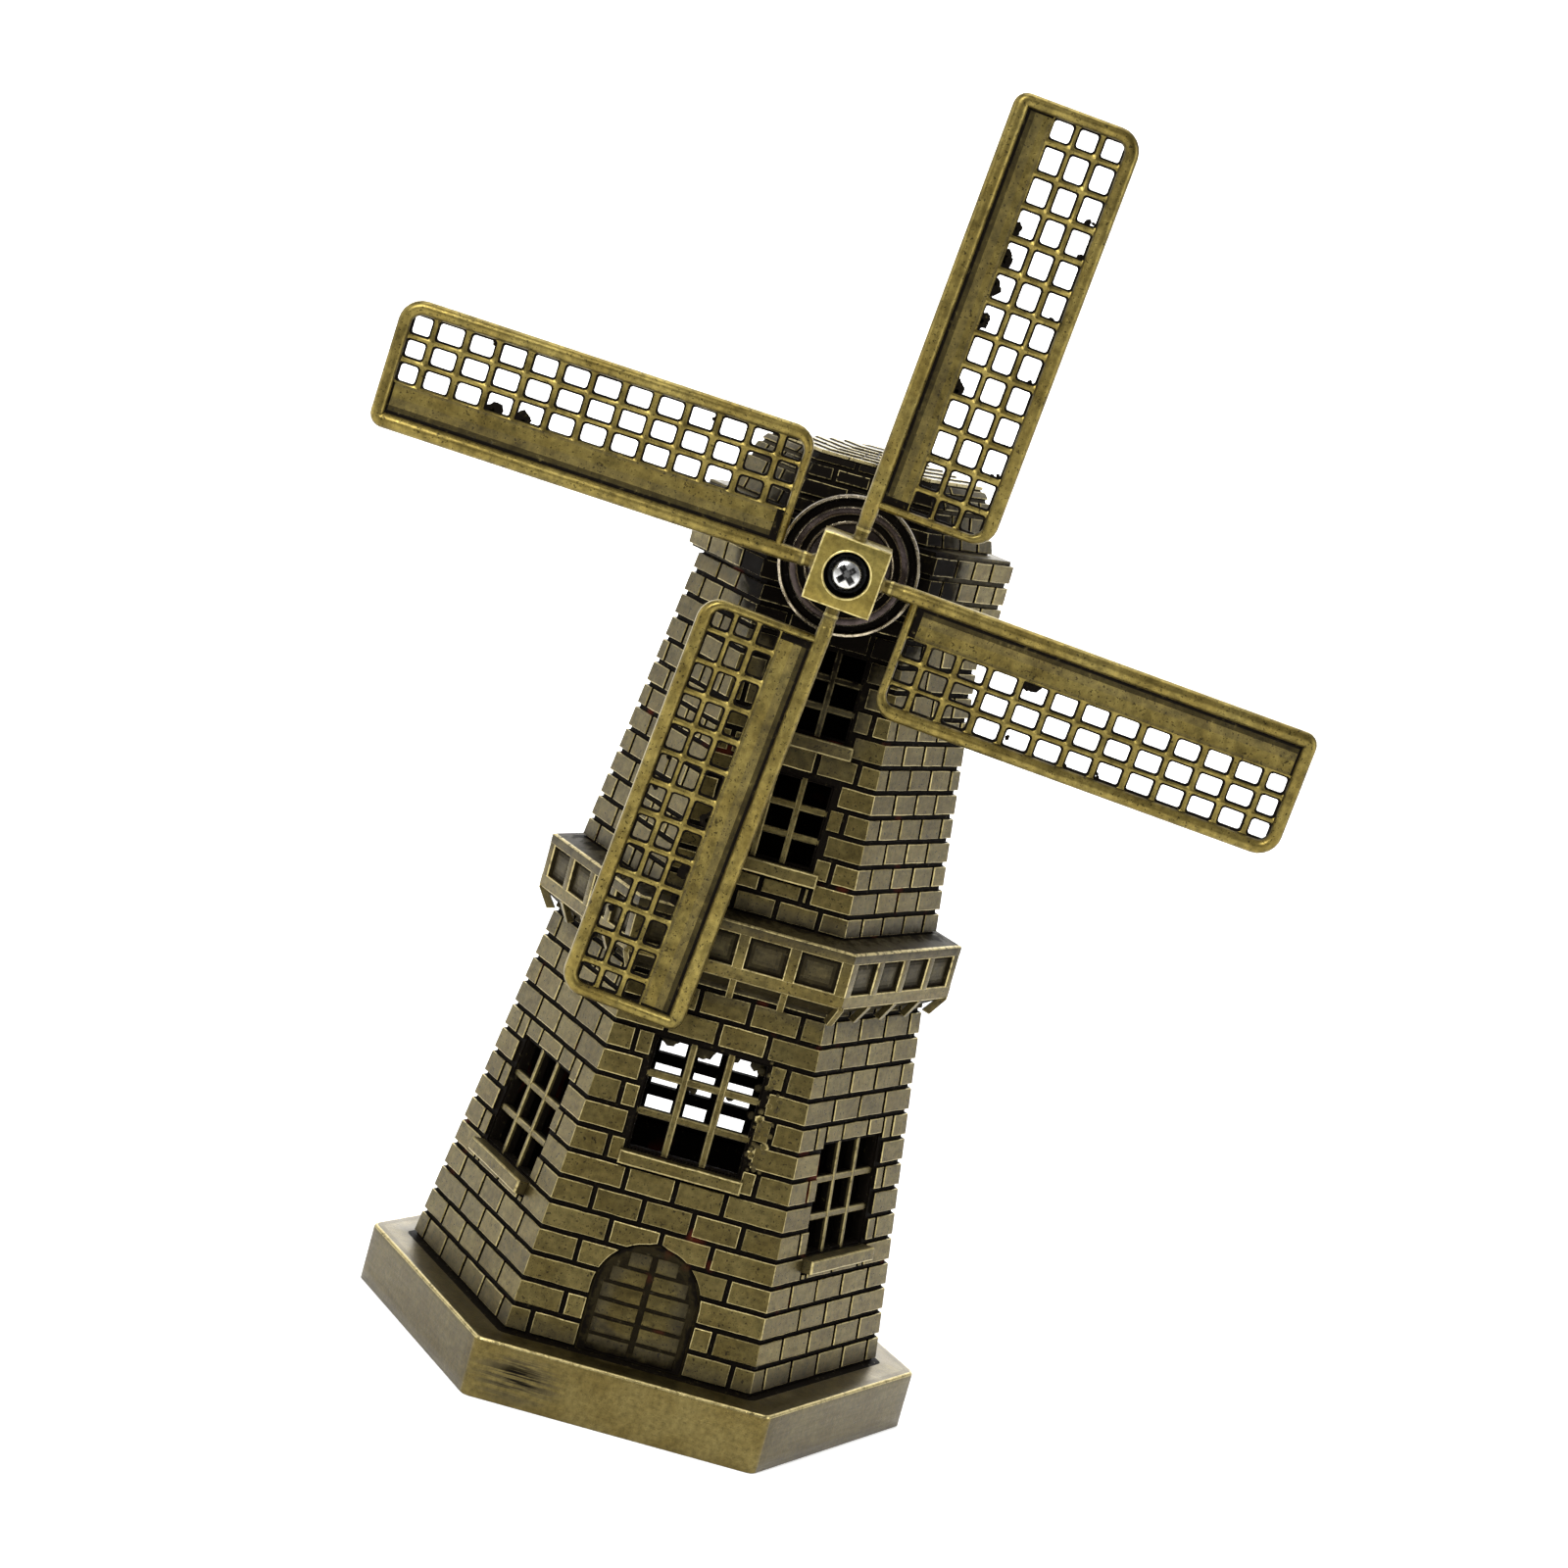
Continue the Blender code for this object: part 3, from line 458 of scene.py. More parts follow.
def lean_corner(point, wall, left, right):
    """Put a point of a corner brick's end on the leaning corner line."""
    if left is not None and abs(point.x - left) < 1e-6:
        return Vector((-wall.half(point.y), point.y))
    if right is not None and abs(point.x - right) < 1e-6:
        return Vector((wall.half(point.y), point.y))
    return point


def course_heights(low, high, first, pitch):
    heights = [low]
    z = low + first
    while z < high - pitch / 3:
        heights.append(z)
        z += pitch
    return heights + [high]


def slab(shape, wall, side, z0, z1, hole=None, notch=()):
    """The wall behind the bricks between two heights, with a window hole or a notch for the door."""
    y0, y1 = wall.up(z0), wall.up(z1)
    outline = [Vector((-wall.half(y0), y0)), *notch, Vector((wall.half(y0), y0)),
               Vector((wall.half(y1), y1)), Vector((-wall.half(y1), y1))]
    corners = [False] * (1 + len(notch)) + [True, False, True]
    place = wall.place(side)
    if hole is None:
        rings = (WALL, 0), (MORTAR_DEPTH, 0)
        relief(shape, place, outline, corners, rings, (BLACK,), (BLACK, BLACK))
        return
    front, back = [inset(outline, [depth * MITRE if corner else 0 for corner in corners])
                   for depth in (MORTAR_DEPTH, WALL)]
    loops = (front, MORTAR_DEPTH), (hole, MORTAR_DEPTH), (hole, WALL), (back, WALL)
    shape.skin([[p.to_3d() - Vector((0, 0, depth)) for p in loop] for loop, depth in loops], (BLACK,), place)


BAR_SECTION = ((-1, -1.0), (1, -1.0), (1, -0.35), (0.85, -0.12), (0.5, 0), (-0.5, 0), (-0.85, -0.12),
               (-1, -0.35))


def bar(shape, place, start, end, width, depth, front=PLAIN):
    """A straight bar with a rounded front, from start to end across a face."""
    across = (end - start).normalized().cross(Vector((0, 0, 1))) * width / 2
    loops = [[point + across * x + Vector((0, 0, depth * z)) for x, z in BAR_SECTION]
             for point in (start, (start + end) / 2, end)]
    edge = min(front * 1.5, EDGE)
    tones = (BLACK, BLACK, front * 0.6, edge, front, edge, front * 0.6, BLACK)
    shape.skin(loops, (), place, shape.random.random(), (BLACK, BLACK), tones)


def grille(name, wall, side, half, low, height, wide, tall):
    """Window bars in a recessed rim."""
    shape = Shape(sum(map(ord, name)))
    place = wall.place(side)
    y0, y1 = wall.up(low), wall.up(low + height)

    def level(y, z, width, depth, reach=half, front=PLAIN):
        bar(shape, place, Vector((-reach, y, z)), Vector((reach, y, z)), width, depth, front)

    def upright(x, z, width, depth, front=PLAIN):
        bar(shape, place, Vector((x, y0, z)), Vector((x, y1, z)), width, depth, front)

    back = -BAR_SETBACK - 0.12
    for y in (y0 + RIM / 2, y1 - RIM / 2):
        level(y, back, RIM, 1.7, half + GAP, BLACK)
    for x in (RIM / 2 - half, half - RIM / 2):
        upright(x, back, RIM, 1.6, BLACK)
    for share in (index / PANES for index in range(1, PANES)):
        upright(half * (2 * share - 1), -BAR_SETBACK, wide, 1.5)
        level(y0 + (y1 - y0) * share, -BAR_SETBACK * 1.15, tall, 1.3)
    return shape


def sill(shape, wall, side, half, low):
    """A plain projecting sill under a window."""
    y1 = wall.up(low - SILL_DROP)
    reach = half + SILL_LAP
    outline = rectangle(-reach, y1 - SILL_H, reach, y1)
    outline, flags = roughened(outline, [False] * 4, shape.random, 2.4, 0.04)
    rings = ((0.6, 0.0), (0.3 - SILL_OUT, 0.0), (0.08 - SILL_OUT, 0.07), (-SILL_OUT, 0.25))
    relief(shape, wall.place(side), outline, flags, rings, (DULL, EDGE, RUBBED), (BLACK, PLAIN), 0.7)


def casting_lumps(shape, place, spots, size, tones=(DARK, RUBBED, PLAIN)):
    """Small uneven lumps that a worn mould leaves, their tones from the foot to the top."""
    source, count = shape.random, 7
    for x, y in spots:
        reach = size * source.uniform(0.6, 1.2)
        loops = []
        for depth, share in ((0.5, 1.0), (0.15, 0.95), (-0.02, 0.6)):
            turns = [(2 * math.pi * k / count, reach * share * source.uniform(0.75, 1.15))
                     for k in range(count)]
            loops.append([Vector((x + r * math.cos(a), y + r * math.sin(a), -depth)) for a, r in turns])
        shape.skin(loops, tones[:2], place, source.random(), (BLACK, tones[2]))


# Tower stages

def lower_stage(materials):
    heights = course_heights(LOWER.low, LOWER.high, LOWER_COURSE, LOWER_COURSE)
    half, tall = LOWER_WINDOW
    for node, sides in (("lower_tower_front", (0, 1, 2)), ("lower_tower_rear", (3, 4, 5))):
        shape = Shape(11 + sides[0])
        for side in sides:
            openings, hole = [], None
            if side in LOWER_WINDOWS:
                low = LOWER_WINDOWS[side][1]
                openings.append((half, low - SILL_DROP - SILL_H - 0.1, low + tall))
                hole = rectangle(-half, LOWER.up(low), half, LOWER.up(low + tall))
                sill(shape, LOWER, side, half, low)
            split = LOWER.low - GAP
            if side == FRONT:
                split = heights[6]
                slab(shape, LOWER, side, LOWER.low - GAP, split, notch=doorway_outline(0))
            slab(shape, LOWER, side, split, LOWER.high + 0.5, hole)
            lay_bricks(shape, LOWER, side, heights, LOWER_PITCH, 0, 3.2, openings, side == FRONT)
            if side == FRONT:
                broken_jamb(shape)
        piece(node + "_brickwork", shape, "mill", [node], materials["brick"])
    for side in LOWER_WINDOWS:
        lower_grille(side, materials["bars"])


def broken_jamb(shape):
    """Lumps of a worn mould to the right of the front window."""
    place = LOWER.place(FRONT)
    spots = [(9.1, 33.5), (9.4, 36.2), (10.6, 35.0), (9.0, 38.6), (9.8, 40.9), (8.8, 43.3), (10.9, 42.0)]
    casting_lumps(shape, place, spots, 0.75)
    spots = [(shape.random.uniform(8.4, 11.2), shape.random.uniform(31, 47)) for _ in range(40)]
    casting_lumps(shape, place, spots, 0.48, (BLACK, DARK, DULL))


def lower_grille(side, material):
    """Bars of a lower window; the rear one has an extra bar and the front one casting flash."""
    name, low, wide, high = LOWER_WINDOWS[side]
    half, tall = LOWER_WINDOW
    shape = grille(name, LOWER, side, half, low, tall, wide, high)
    base = LOWER.up(low)
    if side == REAR:
        ends = [Vector((x, base + 1.1, -BAR_SETBACK)) for x in (-half, half)]
        bar(shape, LOWER.place(side), *ends, 2.2, 1.5)
    if side == FRONT:
        flash = LOWER.place(side) @ Matrix.Translation((0, 0, -1.5 - BAR_SETBACK))
        spots = [(-6.4, 16.4), (-5.6, 16.6), (-2.2, 16.0), (-1.5, 15.3), (-0.9, 15.9), (-0.2, 16.5),
                 (3.3, 16.4), (6.6, 16.2), (7.4, 15.4), (-2.0, 10.4), (-1.3, 10.2), (4.1, 10.5),
                 (7.7, 12.9), (7.8, 8.9)]
        casting_lumps(shape, flash, [(x, y + base) for x, y in spots], 1.0, (BLACK, DARK, DARK))
    piece(name + "_grille", shape, "mill", [name], material)


def doorway_outline(margin):
    """The doorway's edge from bottom left over the arch to bottom right."""
    reach = DOOR_HALF - margin
    turns = [math.pi * (1 - step / 16) for step in range(17)]
    arch = [Vector((reach * math.cos(a), DOOR_SPRING + reach * math.sin(a))) for a in turns]
    return [Vector((-reach, -GAP))] + arch + [Vector((reach, -GAP))]


def pebble_spot(source):
    """A place in the band that follows the doorway's edge."""
    angle, reach = source.uniform(-0.9, math.pi + 0.9), DOOR_HALF - source.uniform(0.25, 1.7)
    if 0 <= angle <= math.pi:
        return reach * math.cos(angle), DOOR_SPRING + reach * math.sin(angle)
    return math.copysign(reach, math.cos(angle)), source.uniform(0.3, DOOR_SPRING)


def door(materials):
    """The walled-up doorway: a pebbled panel with two columns of low bricks."""
    shape, depth = Shape(31), DOOR_DEPTH
    place = LOWER.place(FRONT)
    outline = doorway_outline(-0.05)[::-1]
    rings = (WALL, 0), (depth, 0.0), (depth - 0.2, 0.4), (depth - 0.22, 1.6)
    relief(shape, place, outline, [False] * len(outline), rings, (BLACK, 0.12, 0.12), (BLACK, 0.1))
    pebbles = [pebble_spot(shape.random) for _ in range(190)]
    lift = Matrix.Translation((0, 0, 0.13 - depth))
    casting_lumps(shape, place @ lift, pebbles, 0.24, (BLACK, 0.2, 0.34))
    rings = (depth + 0.3, 0), (depth - 0.3, 0), (depth - 0.42, 0.08), (depth - 0.46, 0.2)
    for row in range(DOOR_ROWS):
        low = 0.4 + row * DOOR_PITCH
        high = low + DOOR_PITCH - 0.5
        for sign in (-1, 1):
            x0, x1 = sorted((sign * DOOR_MIDDLE, sign * (door_half(high) - DOOR_BORDER)))
            if x1 - x0 < 1:
                continue
            edges, flags = roughened(rectangle(x0, low, x1, high), [False] * 4, shape.random)
            shade = shape.random.random() / 2
            relief(shape, place, edges, flags, rings, (BLACK, 0.6, 0.5), (BLACK, 0.42), shade)
    piece("door_panel", shape, "mill", ["door"], materials["brick"])


def upper_stage(materials):
    heights = course_heights(UPPER.low, UPPER.high, UPPER_FIRST, UPPER_COURSE)
    half, tall = UPPER_WINDOW
    middle = sum(UPPER_WINDOWS_Z) / 2 + tall / 2 - 1
    for node, sides in (("upper_tower_front", (0, 1, 2)), ("upper_tower_rear", (3, 4, 5))):
        shape = Shape(51 + sides[0])
        for side in sides:
            openings = []
            if side == FRONT:
                for low in UPPER_WINDOWS_Z:
                    openings.append((half, low - SILL_DROP - SILL_H, low + tall))
                    sill(shape, UPPER, side, half + 0.5, low)
                    hole = rectangle(-half, UPPER.up(low), half, UPPER.up(low + tall))
                    ends = (UPPER.low - GAP, middle) if low < middle else (middle, UPPER.high + GAP)
                    slab(shape, UPPER, side, *ends, hole)
            else:
                slab(shape, UPPER, side, UPPER.low - GAP, UPPER.high + GAP)
            lay_bricks(shape, UPPER, side, heights, UPPER_PITCH, 1, 2.3, openings)
        piece(node + "_brickwork", shape, "mill", [node], materials["brick"])
    for number, low in enumerate(UPPER_WINDOWS_Z, start=1):
        name = "window_upper_%d" % number
        shape = grille(name, UPPER, FRONT, half, low, tall, 0.95, 1.05)
        piece(name + "_grille", shape, "mill", [name], materials["bars"])


# Six-sided rings

def hexagon(radius, z, rounding=0.0, steps=3, along=1):
    """A six-sided loop, its corners rounded if said, with extra points along the sides."""
    arcs = []
    for k in range(SIDES):
        angle = math.radians(180 + 60 * k)
        corner = Vector((radius * math.cos(angle), radius * math.sin(angle), z))
        if rounding == 0:
            arcs.append([corner])
            continue
        share = (radius - rounding / FLAT) / radius
        turns = [angle + math.radians(60) * (step / steps - 0.5) for step in range(steps + 1)]
        arcs.append([Vector((corner.x * share + rounding * math.cos(turn),
                             corner.y * share + rounding * math.sin(turn), z)) for turn in turns])
    points = []
    for k, arc_points in enumerate(arcs):
        points += arc_points
        start, end = arc_points[-1], arcs[(k + 1) % SIDES][0]
        points += [start.lerp(end, step / along) for step in range(1, along)]
    return points


def hexagonal(shape, profile):
    """A closed six-sided skin, from radius, height and the wear of the band that follows."""
    shape.skin([hexagon(radius, z) for radius, z, _ in profile], [tone for _, _, tone in profile])


def plinth(materials):
    """A smooth tray with softened edges, hollow below."""
    shape = Shape()
    top, foot, inner = PLINTH_H, LOWER.radii[0], PLINTH_R - 3.0
    side = [(PLINTH_R, z) for z in (0.15, 2, 3.5, 5, 6.5, top - 1.0)]
    lip = [(PLINTH_R - back, top - drop) for back, drop in ((0, 0.4), (0.1, 0.14), (0.3, 0.02), (0.5, 0))]
    tray = [(PLINTH_R - 1.6, top), (foot + 1, top), (foot, top + 0.12), (foot - 2, top + 0.12), (23, top),
            (23, top - 2.5), (inner - 0.4, top - 2.5), (inner, 0), (PLINTH_R - 0.2, 0)]
    loops = [hexagon(radius, z, 1.6 if radius > 30 else 0.6, 5, 16) for radius, z in side + lip + tray]
    wear = [PLAIN] * 6 + [RUBBED, EDGE, RUBBED, PLAIN, 0.42, BLACK, BLACK, BLACK, DULL, DULL, DULL, RUBBED]
    shape.skin(loops, wear)
    # Painted light: faces on the front painted lighter (shade 1), plain faces on the other sides painted
    # darker (shade 0 and a tone of 0.35)
    for index, face in enumerate(shape.faces):
        front = all(shape.points[corner].y < -PLINTH_R * FLAT + 1 for corner in face)
        shape.shade[index] = 1.0 if front else 0.0
        if not front and shape.wear[index] == PLAIN:
            shape.wear[index] = 0.35
    piece("plinth_casting", shape, "mill", ["plinth"], materials["plinth"], 50)


def belt_rings(shape):
    """The gallery's core with its sleeves, its lower rail and its upper rail with the ledge."""
    low, high = BELT_Z
    top, upper, inside = UPPER_Z[0], UPPER.radii[0], LOWER.radii[1] - 3.2
    hexagonal(shape, (
        (BELT_FLOOR, low + 0.4, DULL), (BELT_FLOOR, high - 0.4, DULL), (upper + 0.4, high - 0.2, DARK),
        (22, high - 0.2, BLACK), (22, SLEEVE_Z, BLACK), (LOWER.radius(SLEEVE_Z) - 3.2, SLEEVE_Z, BLACK),
        (inside, low, DARK), (LOWER.radii[1], low, DARK)))
    hexagonal(shape, (
        (BELT_R, low + SOFT, PLAIN), (BELT_R, PANEL_LOW - SOFT, EDGE), (BELT_R - SOFT, PANEL_LOW, DULL),
        (BELT_FLOOR - 1, PANEL_LOW, BLACK), (LOWER.radius(low - 1.7) + 0.2, low - 1.7, DARK),
        (BELT_R - 0.7, low - 0.15, DULL), (BELT_R - SOFT, low, EDGE)))
    hexagonal(shape, (
        (BELT_R, PANEL_HIGH + SOFT, PLAIN), (BELT_R, high - SOFT, EDGE), (BELT_R - 0.12, high - 0.03, EDGE),
        (BELT_R - 0.5, high + 0.12, DARK), (upper + 1.2, top - 0.25, DARK), (upper - 0.2, top, DARK),
        (BELT_FLOOR - 3, high - 1, BLACK), (BELT_FLOOR - 1, PANEL_HIGH, DULL),
        (BELT_R - SOFT, PANEL_HIGH, EDGE)))


def belt_face(shape, place):
    """Posts, sunk panels and struts of one face of the gallery."""
    y0, y1 = PANEL_LOW - BELT_Z[0], PANEL_HIGH - BELT_Z[0]
    half, post = BELT_R / 2, PANEL_PITCH - PANEL_SIZE[0]
    first = -PANEL_PITCH * (PANELS - 1) / 2
    spans = [first + PANEL_PITCH * (k + 0.5) for k in range(PANELS - 1)]
    end = first + PANEL_PITCH * (PANELS - 0.5) - post / 2
    posts = [(x - post / 2, x + post / 2, False, False) for x in spans]
    for x0, x1, left, right in posts + [(-half, -end, True, False), (end, half, False, True)]:
        outline, corners = rectangle(x0, y0 - 0.3, x1, y1 + 0.3), [False, right, False, left]
        rings = (PANEL_DEPTH + 0.2, 0), (SOFT, 0), (0.04, 0.05), (0.0, SOFT)
        relief(shape, place, outline, corners, rings, (DARK, EDGE, EDGE), (BLACK, PLAIN))
    rings = [(PANEL_DEPTH - rise, back) for rise, back in
             ((-0.3, 0), (0.04, 0.02), (0.1, 0.5), (0.15, 1.0), (0.18, 1.6))]
    for k in range(PANELS):
        x = first + k * PANEL_PITCH
        pad = rectangle(x - PANEL_SIZE[0] / 2, y0, x + PANEL_SIZE[0] / 2, y1)
        relief(shape, place, pad, [False] * 4, rings, (BLACK, 0.1, 0.14, 0.19), (BLACK, 0.23),
               shape.random.random())
    for x in spans:
        strut(shape, place @ Matrix.Translation((x, 0, 0)), 1)


def gallery(materials):
    """The belt between the stages: rails, posts and sunk panels, a ledge and small struts."""
    shape = Shape(71)
    belt_rings(shape)
    for side in range(SIDES):
        belt_face(shape, BELT.place(side))
        angle = math.radians(180 + 60 * side)
        corner = Matrix.Translation((BELT_R * math.cos(angle), BELT_R * math.sin(angle), BELT_Z[0]))
        turn = Matrix.Rotation(angle + math.pi / 2, 4, "Z") @ Matrix.Rotation(math.pi / 2, 4, "X")
        strut(shape, corner @ turn, 1 / FLAT)
    piece("gallery", shape, "mill", ["gallery_belt"], materials["gallery"])


def strut(shape, place, stretch):
    """A slanting bar from the belt's lower edge to the wall, stretched outwards at a corner."""
    half, foot = STRUT / 2, -STRUT_DROP
    slope = ((-0.1, 0.35), (-0.9 * stretch, 0.3), (-2.75 * stretch, foot + 0.2),
             (-1.7 * stretch, foot - 0.15), (-0.05, -0.15))
    loops = []
    for x, pull in ((-half, 0.1), (-half + 0.12, 0), (half - 0.12, 0), (half, 0.1)):
        centre = Vector((x, -1.2, -1.0 * stretch))
        loops.append([centre.lerp(Vector((x, y, z)), 1 - pull) for z, y in slope])
    shape.skin(loops, (RUBBED, PLAIN, RUBBED), place, 0.7, (DULL, DULL))


def curb(materials):
    """The overhanging band of three brick courses."""
    shape = Shape(81)
    low, high = CURB.low, CURB.high
    inner = CURB_R - MORTAR_DEPTH / FLAT
    hexagonal(shape, (
        (inner, low, DARK), (inner, high, DULL), (CURB_R - 0.7, high + GAP, DULL), (17, high + GAP, BLACK),
        (17, low - 3, BLACK), (18, low - 3, BLACK), (UPPER.radii[1] - 1, low - 0.2, DARK)))
    heights = [low + (high - low) * k / 3 for k in range(4)]
    for side in range(SIDES):
        lay_bricks(shape, CURB, side, heights, CURB_PITCH, 0, 2.0)
    piece("curb_brickwork", shape, "mill", ["curb_band"], materials["curb"])


def cap(materials):
    """The cap's side: brick courses that lean in more and more."""
    shape = Shape(82)
    heights = [CAP_Z + sum(CAP_COURSES[:k]) for k in range(len(CAP_COURSES) + 1)]
    steps = [(z, corner_radius("cap_wall", z)) for z in heights]
    core = [(radius - MORTAR_DEPTH / FLAT, z) for z, radius in steps]
    core[0] = core[0][0], CAP_Z - GAP
    core += [(steps[-1][1] - 3, heights[-1]), (steps[0][1] - 4, CAP_Z - GAP)]
    tones = (DARK,) * (len(core) - 2) + (BLACK, BLACK)
    hexagonal(shape, [(*ring, tone) for ring, tone in zip(core, tones)])
    for course, ((low, wide), (high, narrow)) in enumerate(zip(steps, steps[1:])):
        wall = Wall(low, high, wide, narrow)
        for side in range(SIDES):
            lay_bricks(shape, wall, side, [low, high], CURB_PITCH, course, 1.8)
    piece("cap_brickwork", shape, "mill", ["cap_wall"], materials["brick"])


def roof(materials):
    """Low stepped courses of flat slabs, closing to a small six-sided crown."""
    shape = Shape(83)
    low, high = box_mm("cap_roof")[0].z + 1.4, box_mm("cap_roof")[1].z
    reach = box_mm("cap_roof")[1].x
    rise = (high - low - 0.15) / ROOF_STEPS
    core = [(reach - 0.3, low)]
    core += [(reach - 0.3 - ROOF_STEP * k, low + rise * (k + 0.3)) for k in range(ROOF_STEPS)]
    shape.skin([hexagon(radius, z) for radius, z in core], (DARK,), ends=(BLACK, DARK))
    for step in range(ROOF_STEPS):
        for side in range(SIDES):
            turn = Matrix.Rotation(math.radians(210 + 60 * side) + math.pi / 2, 4, "Z")
            roof_course(shape, turn, low + rise * (step + 1), reach - ROOF_STEP * step, rise,
                        RUBBED if step == 0 else DARK)
    piece("roof_courses", shape, "mill", ["cap_roof"], materials["roof"])


def roof_course(shape, turn, z, outer, rise, side_tone):
    """Flat slabs side by side along one side of the roof."""
    inner = max(outer - ROOF_STEP - 0.2, 0.8)
    count = max(1, round(outer / ROOF_SLAB))
    rings = (rise + 0.2, 0.04), (0.1, 0.04), (0.03, 0.08), (0.0, 0.18)
    for k in range(count):
        shares = [2 * k / count - 1, 2 * (k + 1) / count - 1]
        a, b = [s + (0 if abs(s) == 1 else 0.12 / outer * (1 - 2 * (s > shares[0]))) for s in shares]
        corners = (a, outer), (b, outer), (b, inner), (a, inner)
        outline = [Vector((share * reach / 2, -reach * FLAT)) for share, reach in corners]
        outline, flags = roughened(outline, [False] * 4, shape.random, 2.0, 0.06)
        lift = Matrix.Translation((0, 0, z + shape.random.uniform(-0.03, 0.03)))
        relief(shape, lift @ turn, outline, flags, rings, (side_tone, EDGE, RUBBED), (BLACK, DULL),
               shape.random.random())


# Windshaft and hub: turned about the shaft, Z towards the front

SHAFT = Matrix.Translation((HUB.x, 0, HUB.z)) @ Matrix.Rotation(math.pi / 2, 4, "X")


def circle_loop(radius, z, count=48):
    turns = (2 * math.pi * k / count for k in range(count))
    return [Vector((radius * math.cos(a), radius * math.sin(a), z)) for a in turns]


def turned(shape, profile, wear, steps, place=SHAFT, ends=None):
    """A turned skin from radius and height pairs."""
    shape.skin([circle_loop(radius, z, steps) for radius, z in profile], wear, place, 0.5, ends)


def windshaft(materials):
    """The ridged round plate, and the sleeve between it and the hub."""
    back, front, r = DISC_BACK, DISC_FRONT, DISC_R
    rings = [(r - 0.1, back, BLACK), (r, back + 0.4, DULL)]
    rings += [(radius, front - depth, tone) for radius, depth, tone in (
        (r, 0.5, RUBBED), (r - 0.1, 0.3, EDGE), (r - 0.4, 0.24, EDGE), (r - 0.55, 0.4, BLACK),
        (r - 0.75, 1.0, BLACK), (8.6, 1.0, BLACK), (8.45, 0.3, EDGE), (8.25, 0.05, PLAIN), (7.9, 0, PLAIN),
        (7.45, 0.05, EDGE), (7.25, 0.25, BLACK), (7.15, 0.6, BLACK), (6.35, 0.6, EDGE), (6.15, 0.45, EDGE),
        (5.95, 0.6, BLACK), (5.8, 0.9, DULL), (4.3, 0.9, DULL), (4.1, 0.5, EDGE), (3.9, 0.4, DULL),
        (3.2, 0.3, DARK), (BORE, 0.3, BLACK))]
    rings.append((BORE, back, BLACK))
    shape = Shape()
    turned(shape, [ring[:2] for ring in rings], [ring[2] for ring in rings], 96)
    # Near-black material for plate and sleeve: painted shade behind the hub and sails
    piece("windshaft_rings", shape, "mill", ["windshaft_disc"], materials["dark"], 30)
    shape = Shape()
    radius, tip = box_mm("windshaft_bush")[1].x, -box_mm("windshaft_bush")[0].y
    tube = [(radius, front - 0.3), (radius, front + 0.4), (radius - 0.15, front + 0.6),
            (radius - 0.15, tip - 0.4), (radius - 0.4, tip), (BORE, tip), (BORE, front - 0.3)]
    turned(shape, tube, (DULL, DULL, DULL, DARK, BLACK, BLACK, BLACK), 40)
    piece("windshaft_sleeve", shape, "mill", ["windshaft_bush"], materials["dark"], 30)


def square_loop(half, rounding, z, count=48):
    """A rounded square, its points spaced by angle so that it bands with a circle."""
    limit = math.hypot(half - rounding, half - rounding) + rounding
    points = []
    for a in (2 * math.pi * k / count for k in range(count)):
        reach = min(half / max(abs(math.cos(a)), abs(math.sin(a))), limit)
        points.append(Vector((reach * math.cos(a), reach * math.sin(a), z)))
    return points


def hub(materials):
    """The square hub with its screw pocket, and the screw and washer inside."""
    front, back, floor = HUB_FRONT, HUB_BACK, HUB_FRONT - POCKET_DEPTH
    loops = [square_loop(HUB_HALF - pull, 0.2, z) for pull, z in
             ((0.25, back), (0, back + 0.25), (0, front - 0.22), (0.07, front - 0.07), (0.22, front))]
    loops += [circle_loop(POCKET_R + more, z) for more, z in
              ((0.3, front), (0.22, front + 0.05), (0.08, front + 0.02), (0, front - 0.15), (0, floor))]
    loops += [circle_loop(BORE, floor), circle_loop(BORE, back)]
    wear = (PLAIN, PLAIN, EDGE, EDGE, PLAIN, EDGE, EDGE, RUBBED, BLACK, BLACK, BLACK, BLACK)
    turn = Matrix.Rotation(math.radians(CROSS_TURN), 4, "Y") @ Matrix.Rotation(math.pi / 2, 4, "X")
    shape = Shape()
    shape.skin(loops, wear, Matrix.Translation((HUB.x, 0, HUB.z)) @ turn)
    piece("hub_casting", shape, "sails", ["hub_block"], materials["hub"], 30)

    shape = Shape()
    washer = [(radius, floor + z) for radius, z in
              ((2.7, 0.3), (2.7, 0.6), (2.6, 0.7), (BORE, 0.7), (BORE, 0.3))]
    turned(shape, washer, (BLACK,), 40)
    piece("pocket_washer", shape, "mill", ["hub_washer"], materials["zinc"], 30)
    cross_screw("hub_pan_screw", "hub_screw", SHAFT, materials["zinc"],
                seat=floor + 1.0, height=1.7, head=2.25, thread=1.25, length=20.0)


